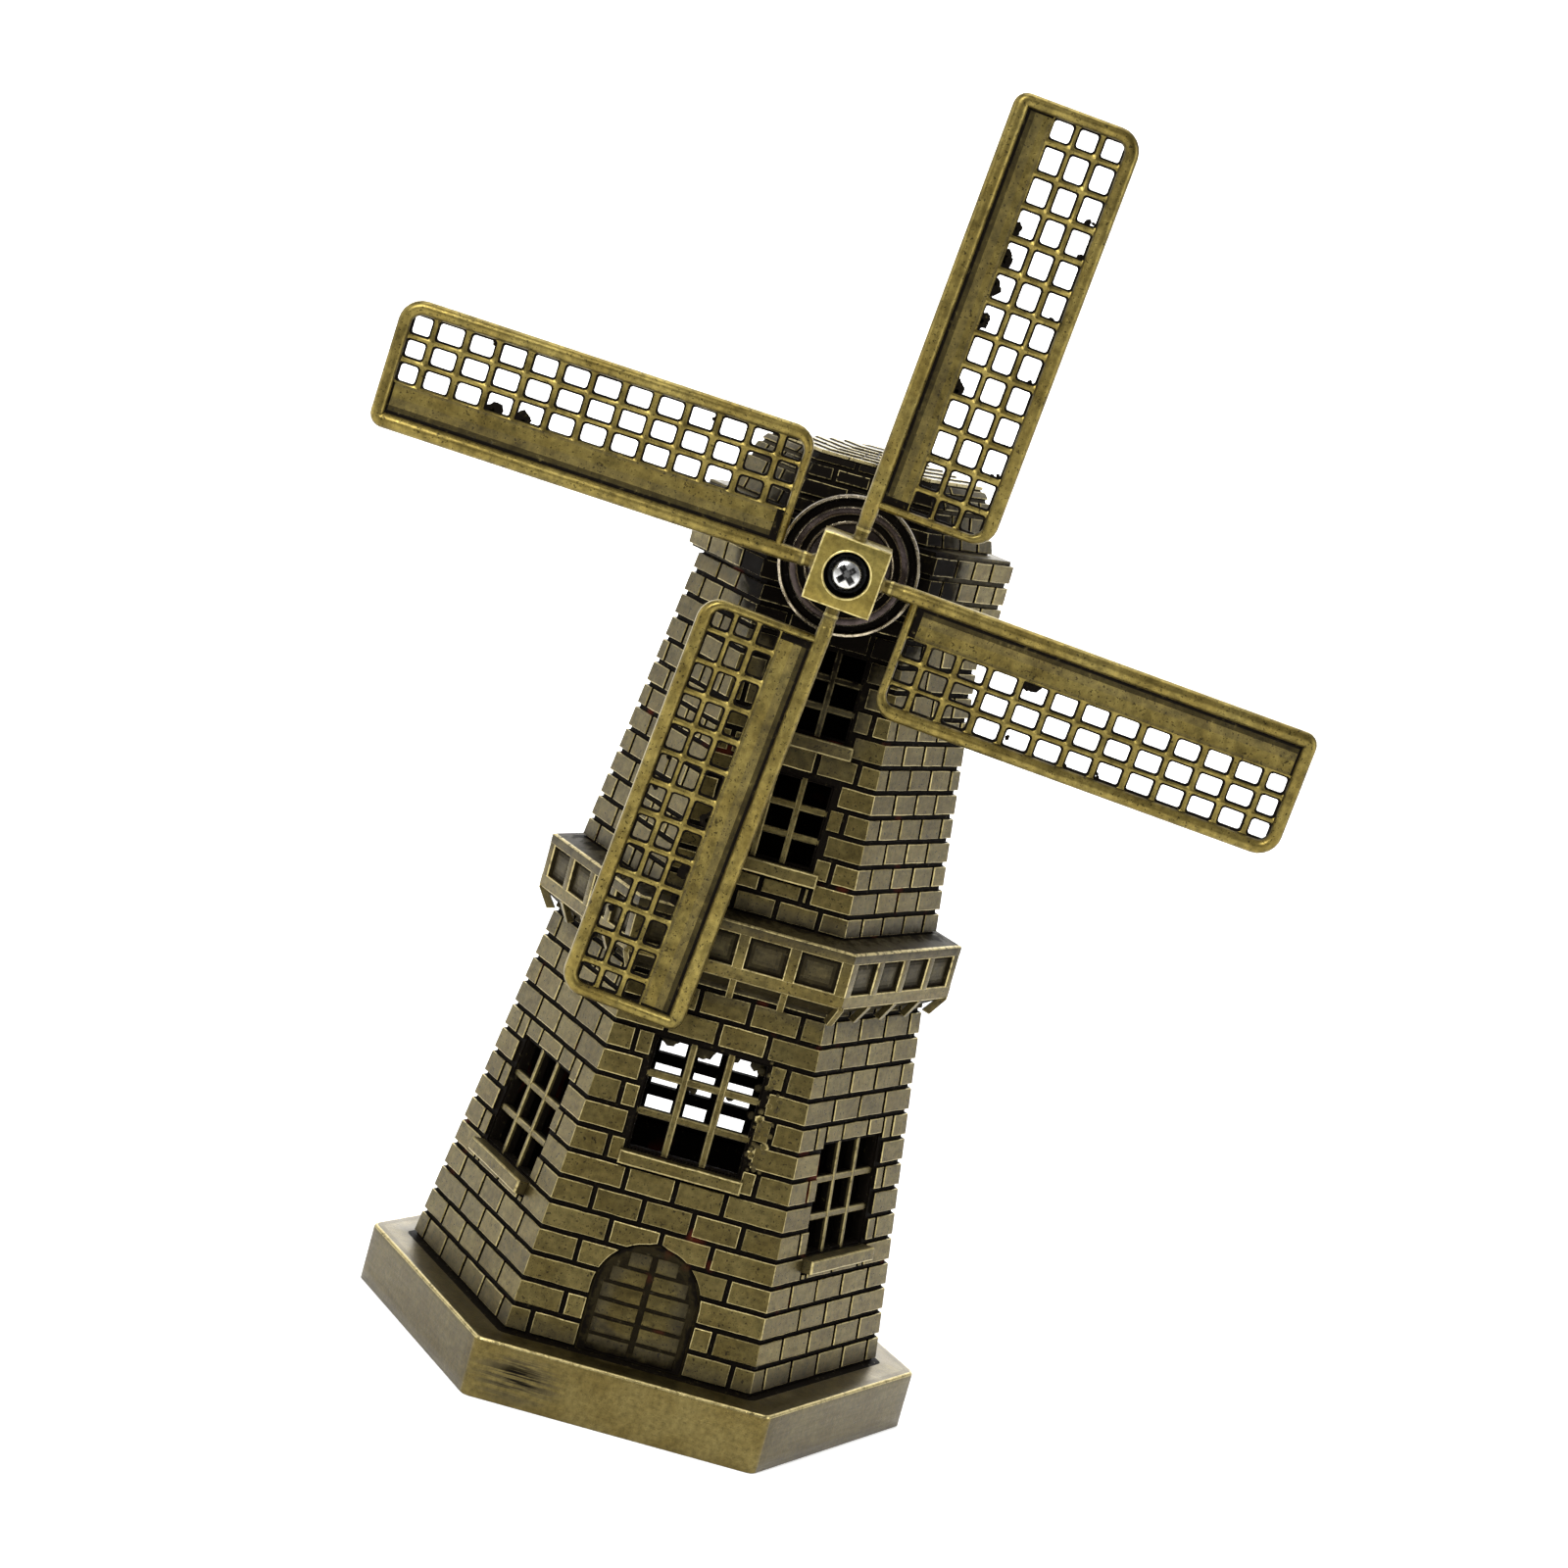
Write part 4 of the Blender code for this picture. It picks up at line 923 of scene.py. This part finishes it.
def cross_screw(name, node, place, material, seat, height, head, thread, length):
    """A pan-head screw with a tapered cross recess, cut with a boolean."""
    shape, crown = Shape(), seat + height
    dome = [(head * math.cos(a) ** 0.6, seat + 0.75 + (height - 0.75) * math.sin(a))
            for a in (math.radians(10 * k) for k in range(9))]
    profile = [(thread * 0.3, seat - length)] + thread_profile(thread, seat - length + 1, seat - 0.2)
    profile += [(thread, seat), (head - 0.1, seat), (head, seat + 0.15)] + dome + [(0.2, crown)]
    turned(shape, profile, (PLAIN,), 48, place, (PLAIN, PLAIN))
    obj = piece(name, shape, "mill", [node], material, 40)
    reach, depth = head * 0.68, height * 0.72
    levels = (0.35, 0.24, crown - depth), (0.85, 0.36, crown - depth / 2), (1.05, 0.5, crown + 0.1)
    for turn in (45, 135):
        tool = Shape()
        loops = [[Vector((x * reach * s, y * w, z)) for x, y in ((-1, -1), (1, -1), (1, 1), (-1, 1))]
                 for s, w, z in levels]
        spin = Matrix.Rotation(math.radians(turn), 4, "Z")
        tool.skin(loops, (BLACK, 0.2), place @ spin, 0.5, (DARK, DARK))
        cut_with(obj, tool)
    obj.data.set_sharp_from_angle(angle=math.radians(30))


def cut_with(obj, tool):
    """Cut a shape out of a piece and keep the result as its mesh."""
    cutter = bpy.data.objects.new("cutter", smooth_mesh("cutter", tool, 30))
    bpy.context.scene.collection.objects.link(cutter)
    cutter.data.materials.append(obj.data.materials[0])
    modifier = obj.modifiers.new("cut", "BOOLEAN")
    modifier.operation, modifier.solver, modifier.object = "DIFFERENCE", "EXACT", cutter
    bpy.context.view_layer.update()
    result = bpy.data.meshes.new_from_object(obj.evaluated_get(bpy.context.evaluated_depsgraph_get()))
    obj.modifiers.clear()
    obj.data = result
    bpy.data.objects.remove(cutter, do_unlink=True)


def thread_profile(radius, low, high):
    """Ridges of a thread as rings, close enough for a screw that is seen from its end."""
    profile, z = [], low
    while z < high:
        profile += [(radius * 0.78, z), (radius, z + 0.35)]
        z += 0.7
    return profile


def base_screws(materials):
    """The four screws under the plinth, heads down."""
    for number in range(1, 5):
        node = "base_screw_%d" % number
        low, high = box_mm(node)
        place = Matrix.Translation(((low.x + high.x) / 2, (low.y + high.y) / 2, 0))
        cross_screw("base_pan_screw_%d" % number, node, place @ Matrix.Rotation(math.pi, 4, "X"),
                    materials["zinc"], seat=-low.z - BASE_HEAD, height=BASE_HEAD, head=2.4, thread=1.1,
                    length=high.z - low.z - BASE_HEAD)


# Sails: Z along the sail, X across it to the clockwise side, -Y to the front

def rail_corner(x, z, radius, turns, widths, steps=6):
    """Points round a corner of the rail, each with its half width."""
    points = []
    for share in (step / steps for step in range(steps + 1)):
        angle = math.radians(turns[0] + (turns[1] - turns[0]) * share)
        half = (widths[0] + (widths[1] - widths[0]) * share) / 2
        points.append((x + radius * math.cos(angle), z + radius * math.sin(angle), half))
    return points


def frame_path():
    """The rail's middle line with half widths: up the stock, round the outside, back at the root."""
    top, low = SAIL_TIP - TIP_RAIL / 2, SAIL_ROOT + ROOT_RAIL / 2
    side = SAIL_EDGE - RAIL / 2
    turn_x, sharp, soft = side - RAIL_ROUND, 0.9, RAIL_ROUND
    path = [(0, STOCK_ROOT + z, STOCK_R * share) for z, share in ((0, 0.55), (0.35, 0.9), (0.8, 1))]
    path += [(0, SAIL_ROOT + z, STOCK_R) for z in (20, 40)]
    path += rail_corner(sharp, top - sharp, sharp, (180, 90), (2 * STOCK_R, TIP_RAIL), 5)
    path += rail_corner(turn_x, top - soft, soft, (90, 0), (TIP_RAIL, RAIL))
    path += [(side, SAIL_ROOT + z, RAIL / 2) for z in (40, 20)]
    path += rail_corner(turn_x, low + soft, soft, (0, -90), (RAIL, ROOT_RAIL))
    return path + [(STOCK_R, low, ROOT_RAIL / 2 * 0.9), (0, low, ROOT_RAIL / 2 * 0.7)]


RAIL_BACK = [(-0.94, 0.8), (-0.7, 0.95), (0.7, 0.95), (0.94, 0.8)]
# Tones round the rail's section: painted shade on the outer edge band, a painted highlight (0.75) on the
# inner edge band, darker where the front meets the flat back
RAIL_TONES = [0.1, 0.36, 0.48, 0.52, 0.54, 0.52, 0.48, 0.44, 0.75, DARK, DULL, DULL, DULL, DARK]


def rails(shape):
    """The rounded frame swept along its path, flat at the back."""
    path = frame_path()
    front = [(math.cos(a), math.sin(a)) for a in (math.radians(20 * k) for k in range(10))]
    loops = []
    for index, (x, z, half) in enumerate(path):
        before, after = path[max(index - 1, 0)], path[min(index + 1, len(path) - 1)]
        along = Vector((after[0] - before[0], after[1] - before[1])).normalized()
        section = [(c, -s * (0.45 + 0.6 * half)) for c, s in front] + RAIL_BACK
        loops.append([Vector((x + along.y * c * half, y, z - along.x * c * half)) for c, y in section])
    shape.skin(loops, (), ends=(DULL, DULL), across=RAIL_TONES)


def board(shape, edge):
    """The solid strip that slopes from the stock back to the lattice, with painted shade next to the stock
    and at both ends.
    """
    section = ((0.3, -0.5), (1.1, -0.42), (1.5, -0.22), (2.2, -0.08), (3.4, 0.04), (edge - 0.7, 0.06),
               (edge - 0.05, 0.02), (edge + 0.05, 0.12), (edge + 0.05, 0.8), (0.3, 0.8))
    # Painted shade across the board: darkest next to the stock, lightest in the middle, darker again at the
    # lattice's edge
    wear = [BLACK, 0.04, 0.14, 0.3, 0.38, 0.3, 0.1, DARK, DULL, DULL]
    shaded = [BLACK] * 7 + [DARK, DULL, DULL]
    low, high = SAIL_ROOT + ROOT_RAIL / 2, SAIL_TIP - TIP_RAIL / 2
    stops = low, low + 1.6, high - 1.2, high
    for start, end, tones in zip(stops, stops[1:], (shaded, wear, shaded)):
        loops = [[Vector((x, y, start + (end - start) * k / 8)) for x, y in section] for k in range(9)]
        shape.skin(loops, (), ends=(DARK, DARK), across=tones)


def pane_edges(low, high, count, bar, end=None):
    """Start and end of each pane between two rails, end panes shorter if said."""
    room = high - low - bar * (count - 1)
    sizes = [room / count] * count
    if end:
        sizes = [end] + [(room - 2 * end) / (count - 2)] * (count - 2) + [end]
    edges = []
    for size in sizes:
        edges.append((low, low + size))
        low += size + bar
    return edges


# Lattice bars: width of the dark slope, and depths of the crest, the rim, the slope's foot and the back
OUTLINE = 0.22
CREST_Y, RIM_Y, FOOT_Y, BACK_Y = -0.12, 0.0, 0.28, 0.75
CORNERS = ((-1, -1, 180), (1, -1, 270), (1, 1, 0), (-1, 1, 90))


def pane_outline(x0, z0, x1, z1, radius, steps=4):
    """Rounded opening as four corners of points, anticlockwise from the lower left."""
    corners = []
    for sx, sz, start in CORNERS:
        cx = x0 + radius if sx < 0 else x1 - radius
        cz = z0 + radius if sz < 0 else z1 - radius
        corners.append([(cx + radius * math.cos(a), cz + radius * math.sin(a))
                        for a in (math.radians(start + 90 * k / steps) for k in range(steps + 1))])
    return corners


def lattice_panes(edge):
    """Where the panes start and end, across the sail and along it."""
    return (pane_edges(edge - 0.1, SAIL_EDGE - RAIL, COLUMNS, COLUMN_BAR),
            pane_edges(SAIL_ROOT + ROOT_RAIL, SAIL_TIP - TIP_RAIL, ROWS, LATTICE_BAR, END_PANE))


def lattice(shape, edge):
    """Ridged bars round small rounded openings."""
    columns, rows = lattice_panes(edge)
    bars = LATTICE_BAR, COLUMN_BAR, LATTICE_BAR, COLUMN_BAR
    for i, (x0, x1) in enumerate(columns):
        for j, (z0, z1) in enumerate(rows):
            sides = (j == 0, i == COLUMNS - 1, j == ROWS - 1, i == 0)
            below, right, above, left = [0.2 if end else width / 2 for end, width in zip(sides, bars)]
            a, b, c, d = x0 - left, z0 - below, x1 + right, z1 + above
            shift = [shape.random.uniform(-0.07, 0.07) for _ in range(4)]
            box = x0 + shift[0], z0 + shift[1], x1 + shift[2], z1 + shift[3]
            cell_ring(shape, ((a, b), (c, b), (c, d), (a, d)), box, shape.random.uniform(0.28, 0.5), sides)


def cell_ring(shape, cell, box, radius, sides):
    """One cell of the lattice: front and back faces round the opening, and the opening's walls."""
    x0, z0, x1, z1 = box
    wide = pane_outline(x0 - 0.06, z0 - 0.06, x1 + 0.06, z1 + 0.06, radius + 0.06)
    tight = pane_outline(x0 + OUTLINE, z0 + OUTLINE, x1 - OUTLINE, z1 - OUTLINE, radius)
    points = [Vector((x, y, z)) for y in (CREST_Y, BACK_Y) for x, z in cell]
    rings = []
    for outline, y in ((wide, RIM_Y), (tight, FOOT_Y), (tight, BACK_Y)):
        rings.append(len(points))
        points += [Vector((x, y, z)) for corner in outline for x, z in corner]
    per = len(tight[0])
    count = 4 * per
    faces, wear = [], []
    for base, ring, tone in ((0, rings[0], 0.45), (4, rings[2], DULL)):
        for k in range(4):
            for step in range(per - 1):
                faces.append((base + k, ring + k * per + step, ring + k * per + step + 1))
                wear.append(tone)
            after = (k + 1) % 4
            faces.append((base + k, ring + k * per + per - 1, ring + after * per, base + after))
            wear.append(BLACK if sides[k] and k < 3 else tone)
    for low, high in zip(rings, rings[1:]):
        faces += [(low + k, low + (k + 1) % count, high + (k + 1) % count, high + k) for k in range(count)]
        wear += [BLACK] * count
    for k, closed in enumerate(sides):
        if closed:
            faces.append((k, (k + 1) % 4, 4 + (k + 1) % 4, 4 + k))
            wear.append(DARK)
    shape.add(points, faces, wear)


def burr(shape, x, z, reach):
    """A dark ragged lump of casting flash in the corner of an opening."""
    wander, count = shape.random.uniform, 9
    loops = []
    for y, share in ((0.15, 0.4), (0.25, 0.9), (0.4, 1.0), (0.55, 0.5)):
        loops.append([Vector((x + reach * share * wander(0.7, 1.2) * math.cos(a), y,
                              z + reach * share * wander(0.7, 1.2) * math.sin(a)))
                      for a in (2 * math.pi * k / count for k in range(count))])
    shape.skin(loops, (BLACK,), ends=(BLACK, BLACK))


def burrs(shape, edge, source, many):
    """Clusters of flash: large ones along the board, small ones beside the outer rail."""
    columns, rows = lattice_panes(edge)
    for _ in range(many):
        if source.random() < 0.5:
            j = source.randrange(4, 10)
            x, z, size = columns[0][0] + 0.1, rows[j][0] + source.uniform(0.6, 2.6), 1.35
        else:
            j = source.randrange(1, ROWS - 1)
            x, z, size = columns[-1][1] - source.uniform(0.2, 1.2), rows[j][0], 0.5
        for _ in range(3):
            place = x + source.uniform(-0.3, 0.4), z + source.uniform(-0.6, 0.6)
            burr(shape, *place, source.uniform(0.5, 1) * size)


def neck(shape):
    """The thin pin between the stock and the hub, with the small lumps left by its gate."""
    profile = [(0.8, 4.4), (1.3, 4.75), (1.22, 5.0), (0.98, 5.35), (1.0, 6.1), (1.1, 6.5), (1.0, 6.9),
               (1.06, 7.6), (1.12, 8.6)]
    wear = DARK, DULL, DULL, 0.36, RUBBED, DULL, 0.4, PLAIN
    turned(shape, profile, wear, 14, UPRIGHT, (DARK, DARK))


def sails(materials):
    for quarter, (name, (error, edge, clusters)) in enumerate(SAIL_SET.items()):
        shape = Shape(101 + quarter)
        lattice(shape, edge)
        rails(shape)
        board(shape, edge)
        neck(shape)
        burrs(shape, edge, random.Random(7 * quarter + 3), clusters)
        turn = math.radians(CROSS_TURN + 90 * quarter + error)
        place = Matrix.Translation(HUB * MM) @ Matrix.Rotation(turn, 4, "Y")
        piece(name + "_lattice", shape, "sails", [name], materials["sail"], 30, place)


# Materials

def node(tree, kind, **settings):
    made = tree.nodes.new("ShaderNode" + kind)
    for key, value in settings.items():
        setattr(made, key, value)
    return made


def noise(tree, coords, scale, detail, stretch=None, rough=0.55):
    """Noise over the piece's own coordinates, scale in features a millimetre."""
    if stretch:
        mapping = node(tree, "Mapping")
        mapping.inputs["Scale"].default_value = stretch
        tree.links.new(coords, mapping.inputs["Vector"])
        coords = mapping.outputs["Vector"]
    made = node(tree, "TexNoise")
    made.inputs["Scale"].default_value = scale / MM
    made.inputs["Detail"].default_value = detail
    made.inputs["Roughness"].default_value = rough
    tree.links.new(coords, made.inputs["Vector"])
    return made.outputs["Fac"]


def spread(tree, value, low, high, to_low=0.0, to_high=1.0):
    """A value stretched from one range to another, held at its ends."""
    made = node(tree, "MapRange")
    tree.links.new(value, made.inputs["Value"])
    for key, number in (("From Min", low), ("From Max", high), ("To Min", to_low), ("To Max", to_high)):
        made.inputs[key].default_value = number
    return made.outputs["Result"]


def math_node(tree, operation, a, b):
    made = node(tree, "Math", operation=operation)
    made.use_clamp = operation in ("ADD", "SUBTRACT", "MAXIMUM")
    for index, value in enumerate((a, b)):
        if isinstance(value, (int, float)):
            made.inputs[index].default_value = value
        else:
            tree.links.new(value, made.inputs[index])
    return made.outputs["Value"]


def blend_colour(tree, share, a, b, mode="MIX"):
    made = node(tree, "Mix", data_type="RGBA", blend_type=mode)
    for key, value in ((6, a), (7, b)):
        if isinstance(value, tuple):
            made.inputs[key].default_value = (*value, 1.0)
        else:
            tree.links.new(value, made.inputs[key])
    if isinstance(share, float):
        made.inputs[0].default_value = share
    else:
        tree.links.new(share, made.inputs[0])
    return made.outputs[2]


def plain_metal(tree, face, blotch, maps, shade):
    """The face's colour, clouded, streaked, grained and smudged."""
    cloud, grain, streak, smudge = maps
    shadow = tuple(level * share for level, share in zip(face, (0.76, 0.72, 0.62)))
    colour = blend_colour(tree, spread(tree, cloud, 0.35, 0.65), shadow, face)
    tint = spread(tree, streak, 0.32, 0.62, 1 - blotch * 0.5, 1 + blotch * 0.15)
    # The per-face shade tints the face: a random tone on most pieces, painted light on the plinth
    tint = math_node(tree, "MULTIPLY", tint, spread(tree, shade, 0, 1, 0.84, 1.12))
    tint = math_node(tree, "MULTIPLY", tint, spread(tree, grain, 0.3, 0.7, 0.64, 1.34))
    tint = math_node(tree, "MULTIPLY", tint, spread(tree, smudge, 0.34, 0.54, 1 - blotch, 1.0))
    return blend_colour(tree, 1.0, colour, tint, "MULTIPLY")


def fine_relief(tree, shader, grain, pits, streak):
    """Bump from grain, pits and brushing."""
    bump = node(tree, "Bump")
    bump.inputs["Strength"].default_value = 0.3
    bump.inputs["Distance"].default_value = 0.1 * MM
    height = math_node(tree, "MULTIPLY", grain, 0.6)
    height = math_node(tree, "SUBTRACT", height, math_node(tree, "MULTIPLY", pits, 0.5))
    height = math_node(tree, "ADD", height, math_node(tree, "MULTIPLY", streak, 0.3))
    tree.links.new(height, bump.inputs["Height"])
    tree.links.new(bump.outputs["Normal"], shader.inputs["Normal"])


def patina(name, face, rough, blotch=0.4, streaks=(1, 1, 4), shade_and_scuff_amount=1.0, pit=0.7, metallic=0.92,
           edge=(0.58, 0.48, 0.22), recess_and_shade=(0.004, 0.003, 0.002), smeared=False, rust=0.0):
    """Antiqued cast metal: worn edges, dark recesses, brushed streaks, pits, the plinth's scuff, and painted
    shade and painted highlights from the mesh's attributes.
    """
    material = bpy.data.materials.new(name)
    material.use_nodes = True
    tree = material.node_tree
    shader = tree.nodes["Principled BSDF"]
    coords = node(tree, "TexCoord").outputs["Object"]
    wear, shade, shade_and_scuff = (node(tree, "Attribute", attribute_name=label).outputs["Fac"]
                         for label in ("wear", "shade", "shade_and_scuff"))
    cloud = noise(tree, coords, 0.16, 5)
    grain = noise(tree, coords, 1.3, 4, rough=0.7)
    streak = noise(tree, coords, 0.35, 4, streaks)
    pits = spread(tree, noise(tree, coords, 2.6, 2), 0.6, 0.67)
    smudge = noise(tree, coords, 0.42, 5, rough=0.65)
    colour = plain_metal(tree, face, blotch, (cloud, grain, streak, smudge), shade)
    colour = blend_colour(tree, math_node(tree, "MULTIPLY", pits, pit), colour, recess_and_shade)
    rubbed = math_node(tree, "MULTIPLY", spread(tree, wear, 0.55, 1.0), spread(tree, grain, 0.28, 0.52))
    colour = blend_colour(tree, rubbed, colour, edge)
    hidden = spread(tree, wear, 0.46, 0.08)
    flecks = math_node(tree, "MULTIPLY", spread(tree, grain, 0.6, 0.72, 0, 0.4), hidden)
    hidden = math_node(tree, "SUBTRACT", hidden, flecks)
    if smeared:
        patchy = spread(tree, streak, 0.4, 0.54, 0.2 * shade_and_scuff_amount, 1.25 * shade_and_scuff_amount)
    else:
        patchy = spread(tree, smudge, 0.3, 0.7, 1.3 * shade_and_scuff_amount, 0.9 * shade_and_scuff_amount)
    # Painted shade from the per-point attribute, with the plinth's scuff, darkens the colour here, less on
    # rubbed edges
    shade_and_scuff_dark = math_node(tree, "MULTIPLY", shade_and_scuff, patchy)
    shade_and_scuff_dark = math_node(tree, "MULTIPLY", shade_and_scuff_dark, spread(tree, rubbed, 0.3, 0.9, 1.0, 0.3))
    dark = math_node(tree, "MAXIMUM", hidden, shade_and_scuff_dark)
    red = spread(tree, noise(tree, coords, 0.11, 2), 0.64, 0.72, 0, 0.5)
    red = math_node(tree, "MULTIPLY", red, spread(tree, hidden, 0, 1, 0, rust))
    colour = blend_colour(tree, dark, colour, blend_colour(tree, red, recess_and_shade, (0.11, 0.018, 0.008)))
    tree.links.new(colour, shader.inputs["Base Color"])
    tree.links.new(spread(tree, dark, 0.2, 0.9, metallic, 0.0), shader.inputs["Metallic"])
    tree.links.new(spread(tree, dark, 0.2, 0.9, 0.5, 0.02), shader.inputs["Specular IOR Level"])
    matt = math_node(tree, "ADD", spread(tree, streak, 0.3, 0.7, rough + 0.06, rough - 0.05),
                     math_node(tree, "MULTIPLY", dark, 0.25))
    tree.links.new(matt, shader.inputs["Roughness"])
    fine_relief(tree, shader, grain, pits, streak)
    return material


def make_materials():
    return {
        "brick": patina("bronze_brick", (0.122, 0.096, 0.033), 0.36, 0.25, pit=0.85, rust=1.0),
        "gallery": patina("bronze_gallery", (0.138, 0.108, 0.036), 0.36, 0.3, pit=0.8),
        "curb": patina("bronze_curb", (0.176, 0.14, 0.05), 0.36, 0.3, pit=0.8),
        "bars": patina("bronze_bars", (0.13, 0.104, 0.038), 0.36, 0.3),
        # The roof's bronze is paler and greyer than the brickwork: a painted reflection of the bright light
        # on the tops of its courses
        "roof": patina("bronze_roof", (0.17, 0.145, 0.085), 0.2, 0.2, (1, 1, 1), 0.0, 0.6),
        "plinth": patina("bronze_plinth", (0.15, 0.117, 0.04), 0.28, 0.1, (0.35, 0.35, 7), 0.95, 0.35,
                         smeared=True),
        "sail": patina("bronze_sail", (0.245, 0.19, 0.053), 0.35, 0.42, (2, 2, 0.6), 0.0, 0.8,
                       edge=(0.5, 0.41, 0.15)),
        "hub": patina("bronze_hub", (0.265, 0.21, 0.056), 0.36, 0.12, (1, 1, 2), 0.0, 0.35,
                      edge=(0.6, 0.5, 0.2)),
        # A near-black bronze for the windshaft's plate and sleeve: painted shade behind the hub and sails
        "dark": patina("bronze_dark", (0.075, 0.058, 0.054), 0.2, 0.2, shade_and_scuff_amount=0.0, pit=0.3,
                       edge=(0.5, 0.43, 0.3)),
        "zinc": patina("zinc_screw", (0.72, 0.73, 0.75), 0.24, 0.2, shade_and_scuff_amount=0.0, pit=0.25, metallic=1.0,
                       edge=(0.9, 0.9, 0.9), recess_and_shade=(0.03, 0.03, 0.03)),
    }


# Studio

def backdrop():
    """A pale floor that curves up into a wall behind, one smooth sheet."""
    profile = [(-SHEET_REACH, 0), (SHEET_DEPTH, 0)]
    profile += [(SHEET_DEPTH + SHEET_BEND * math.sin(a), SHEET_BEND * (1 - math.cos(a)))
                for a in (math.radians(9 * k) for k in range(1, 11))]
    profile.append((SHEET_DEPTH + SHEET_BEND, SHEET_TOP))
    work = bmesh.new()
    stops = -SHEET_REACH, -SHEET_REACH / 3, SHEET_REACH / 3, SHEET_REACH
    rows = [[work.verts.new((x, y, z)) for x in stops] for y, z in profile]
    for low, high in zip(rows, rows[1:]):
        for k in range(len(stops) - 1):
            work.faces.new((low[k], low[k + 1], high[k + 1], high[k]))
    mesh = bpy.data.meshes.new("studio_sheet")
    work.to_mesh(mesh)
    work.free()
    mesh.shade_smooth()
    mesh.materials.append(paper())
    obj = bpy.data.objects.new("studio_sheet", mesh)
    bpy.context.scene.collection.objects.link(obj)


def paper():
    """White studio paper, faintly uneven and faintly glowing."""
    material = bpy.data.materials.new("studio_paper")
    material.use_nodes = True
    tree = material.node_tree
    shader = tree.nodes["Principled BSDF"]
    coords = node(tree, "TexCoord").outputs["Object"]
    tone = spread(tree, noise(tree, coords, 0.02, 2), 0, 1, 0.93, 0.97)
    white = blend_colour(tree, tone, (0.8, 0.8, 0.8), (0.95, 0.95, 0.95))
    tree.links.new(white, shader.inputs["Base Color"])
    shader.inputs["Roughness"].default_value = 0.9
    shader.inputs["Specular IOR Level"].default_value = 0.0
    shader.inputs["Emission Color"].default_value = (1, 1, 1, 1)
    shader.inputs["Emission Strength"].default_value = 0.25
    return material


def area_light(name, where, target, size, power):
    data = bpy.data.lights.new(name, "AREA")
    data.shape, data.size, data.size_y = "RECTANGLE", size[0], size[1]
    data.energy = power
    obj = bpy.data.objects.new(name, data)
    obj.location = where
    obj.rotation_euler = (Vector(target) - Vector(where)).to_track_quat("-Z", "Y").to_euler()
    bpy.context.scene.collection.objects.link(obj)


def studio():
    """Soft lights all round the model, and an even pale world."""
    backdrop()
    middle = (0, 0, 0.1)
    area_light("key", (-0.55, -1.0, 1.0), middle, (0.6, 0.6), 18)
    area_light("right", (1.1, -0.3, 0.45), middle, (0.5, 0.9), 5)
    area_light("left", (-1.1, 0.0, 0.5), middle, (0.5, 0.9), 3.8)
    area_light("top", (0, 0.3, 1.5), middle, (1.0, 1.0), 12)
    area_light("rear", (0, 0.9, 0.9), (0, 1.4, 0.5), (1.6, 0.8), 20)
    world = bpy.data.worlds.new("studio")
    world.use_nodes = True
    sky = world.node_tree.nodes["Background"].inputs
    sky["Color"].default_value = (1, 1, 1, 1)
    sky["Strength"].default_value = 0.3
    bpy.context.scene.world = world


def camera():
    """A view from the front and a little above, rolled so that the tower leans to the right."""
    turn, rise, roll = (math.radians(a) for a in (CAMERA_TURN, CAMERA_RISE, CAMERA_ROLL))
    back = Vector((math.sin(turn) * math.cos(rise), -math.cos(turn) * math.cos(rise), math.sin(rise)))
    right = Vector((math.cos(turn), math.sin(turn), 0))
    up = back.cross(right)
    axes = (right * math.cos(roll) + up * math.sin(roll), up * math.cos(roll) - right * math.sin(roll), back)
    data = bpy.data.cameras.new("camera")
    data.lens, data.sensor_width = CAMERA_LENS, 36
    data.clip_start, data.clip_end = 0.01, 20
    obj = bpy.data.objects.new("camera", data)
    matrix = Matrix(axes).transposed().to_4x4()
    matrix.translation = (CAMERA_TARGET + back * CAMERA_DISTANCE) * MM
    obj.matrix_world = matrix
    bpy.context.scene.collection.objects.link(obj)
    bpy.context.scene.camera = obj
    bpy.context.scene.view_settings.view_transform = "Standard"


def main():
    for obj in [o for o in bpy.data.objects if o.type in ("LIGHT", "CAMERA")]:
        bpy.data.objects.remove(obj, do_unlink=True)
    materials = make_materials()
    plinth(materials)
    lower_stage(materials)
    door(materials)
    gallery(materials)
    upper_stage(materials)
    curb(materials)
    cap(materials)
    roof(materials)
    windshaft(materials)
    hub(materials)
    base_screws(materials)
    sails(materials)
    studio()
    camera()


main()
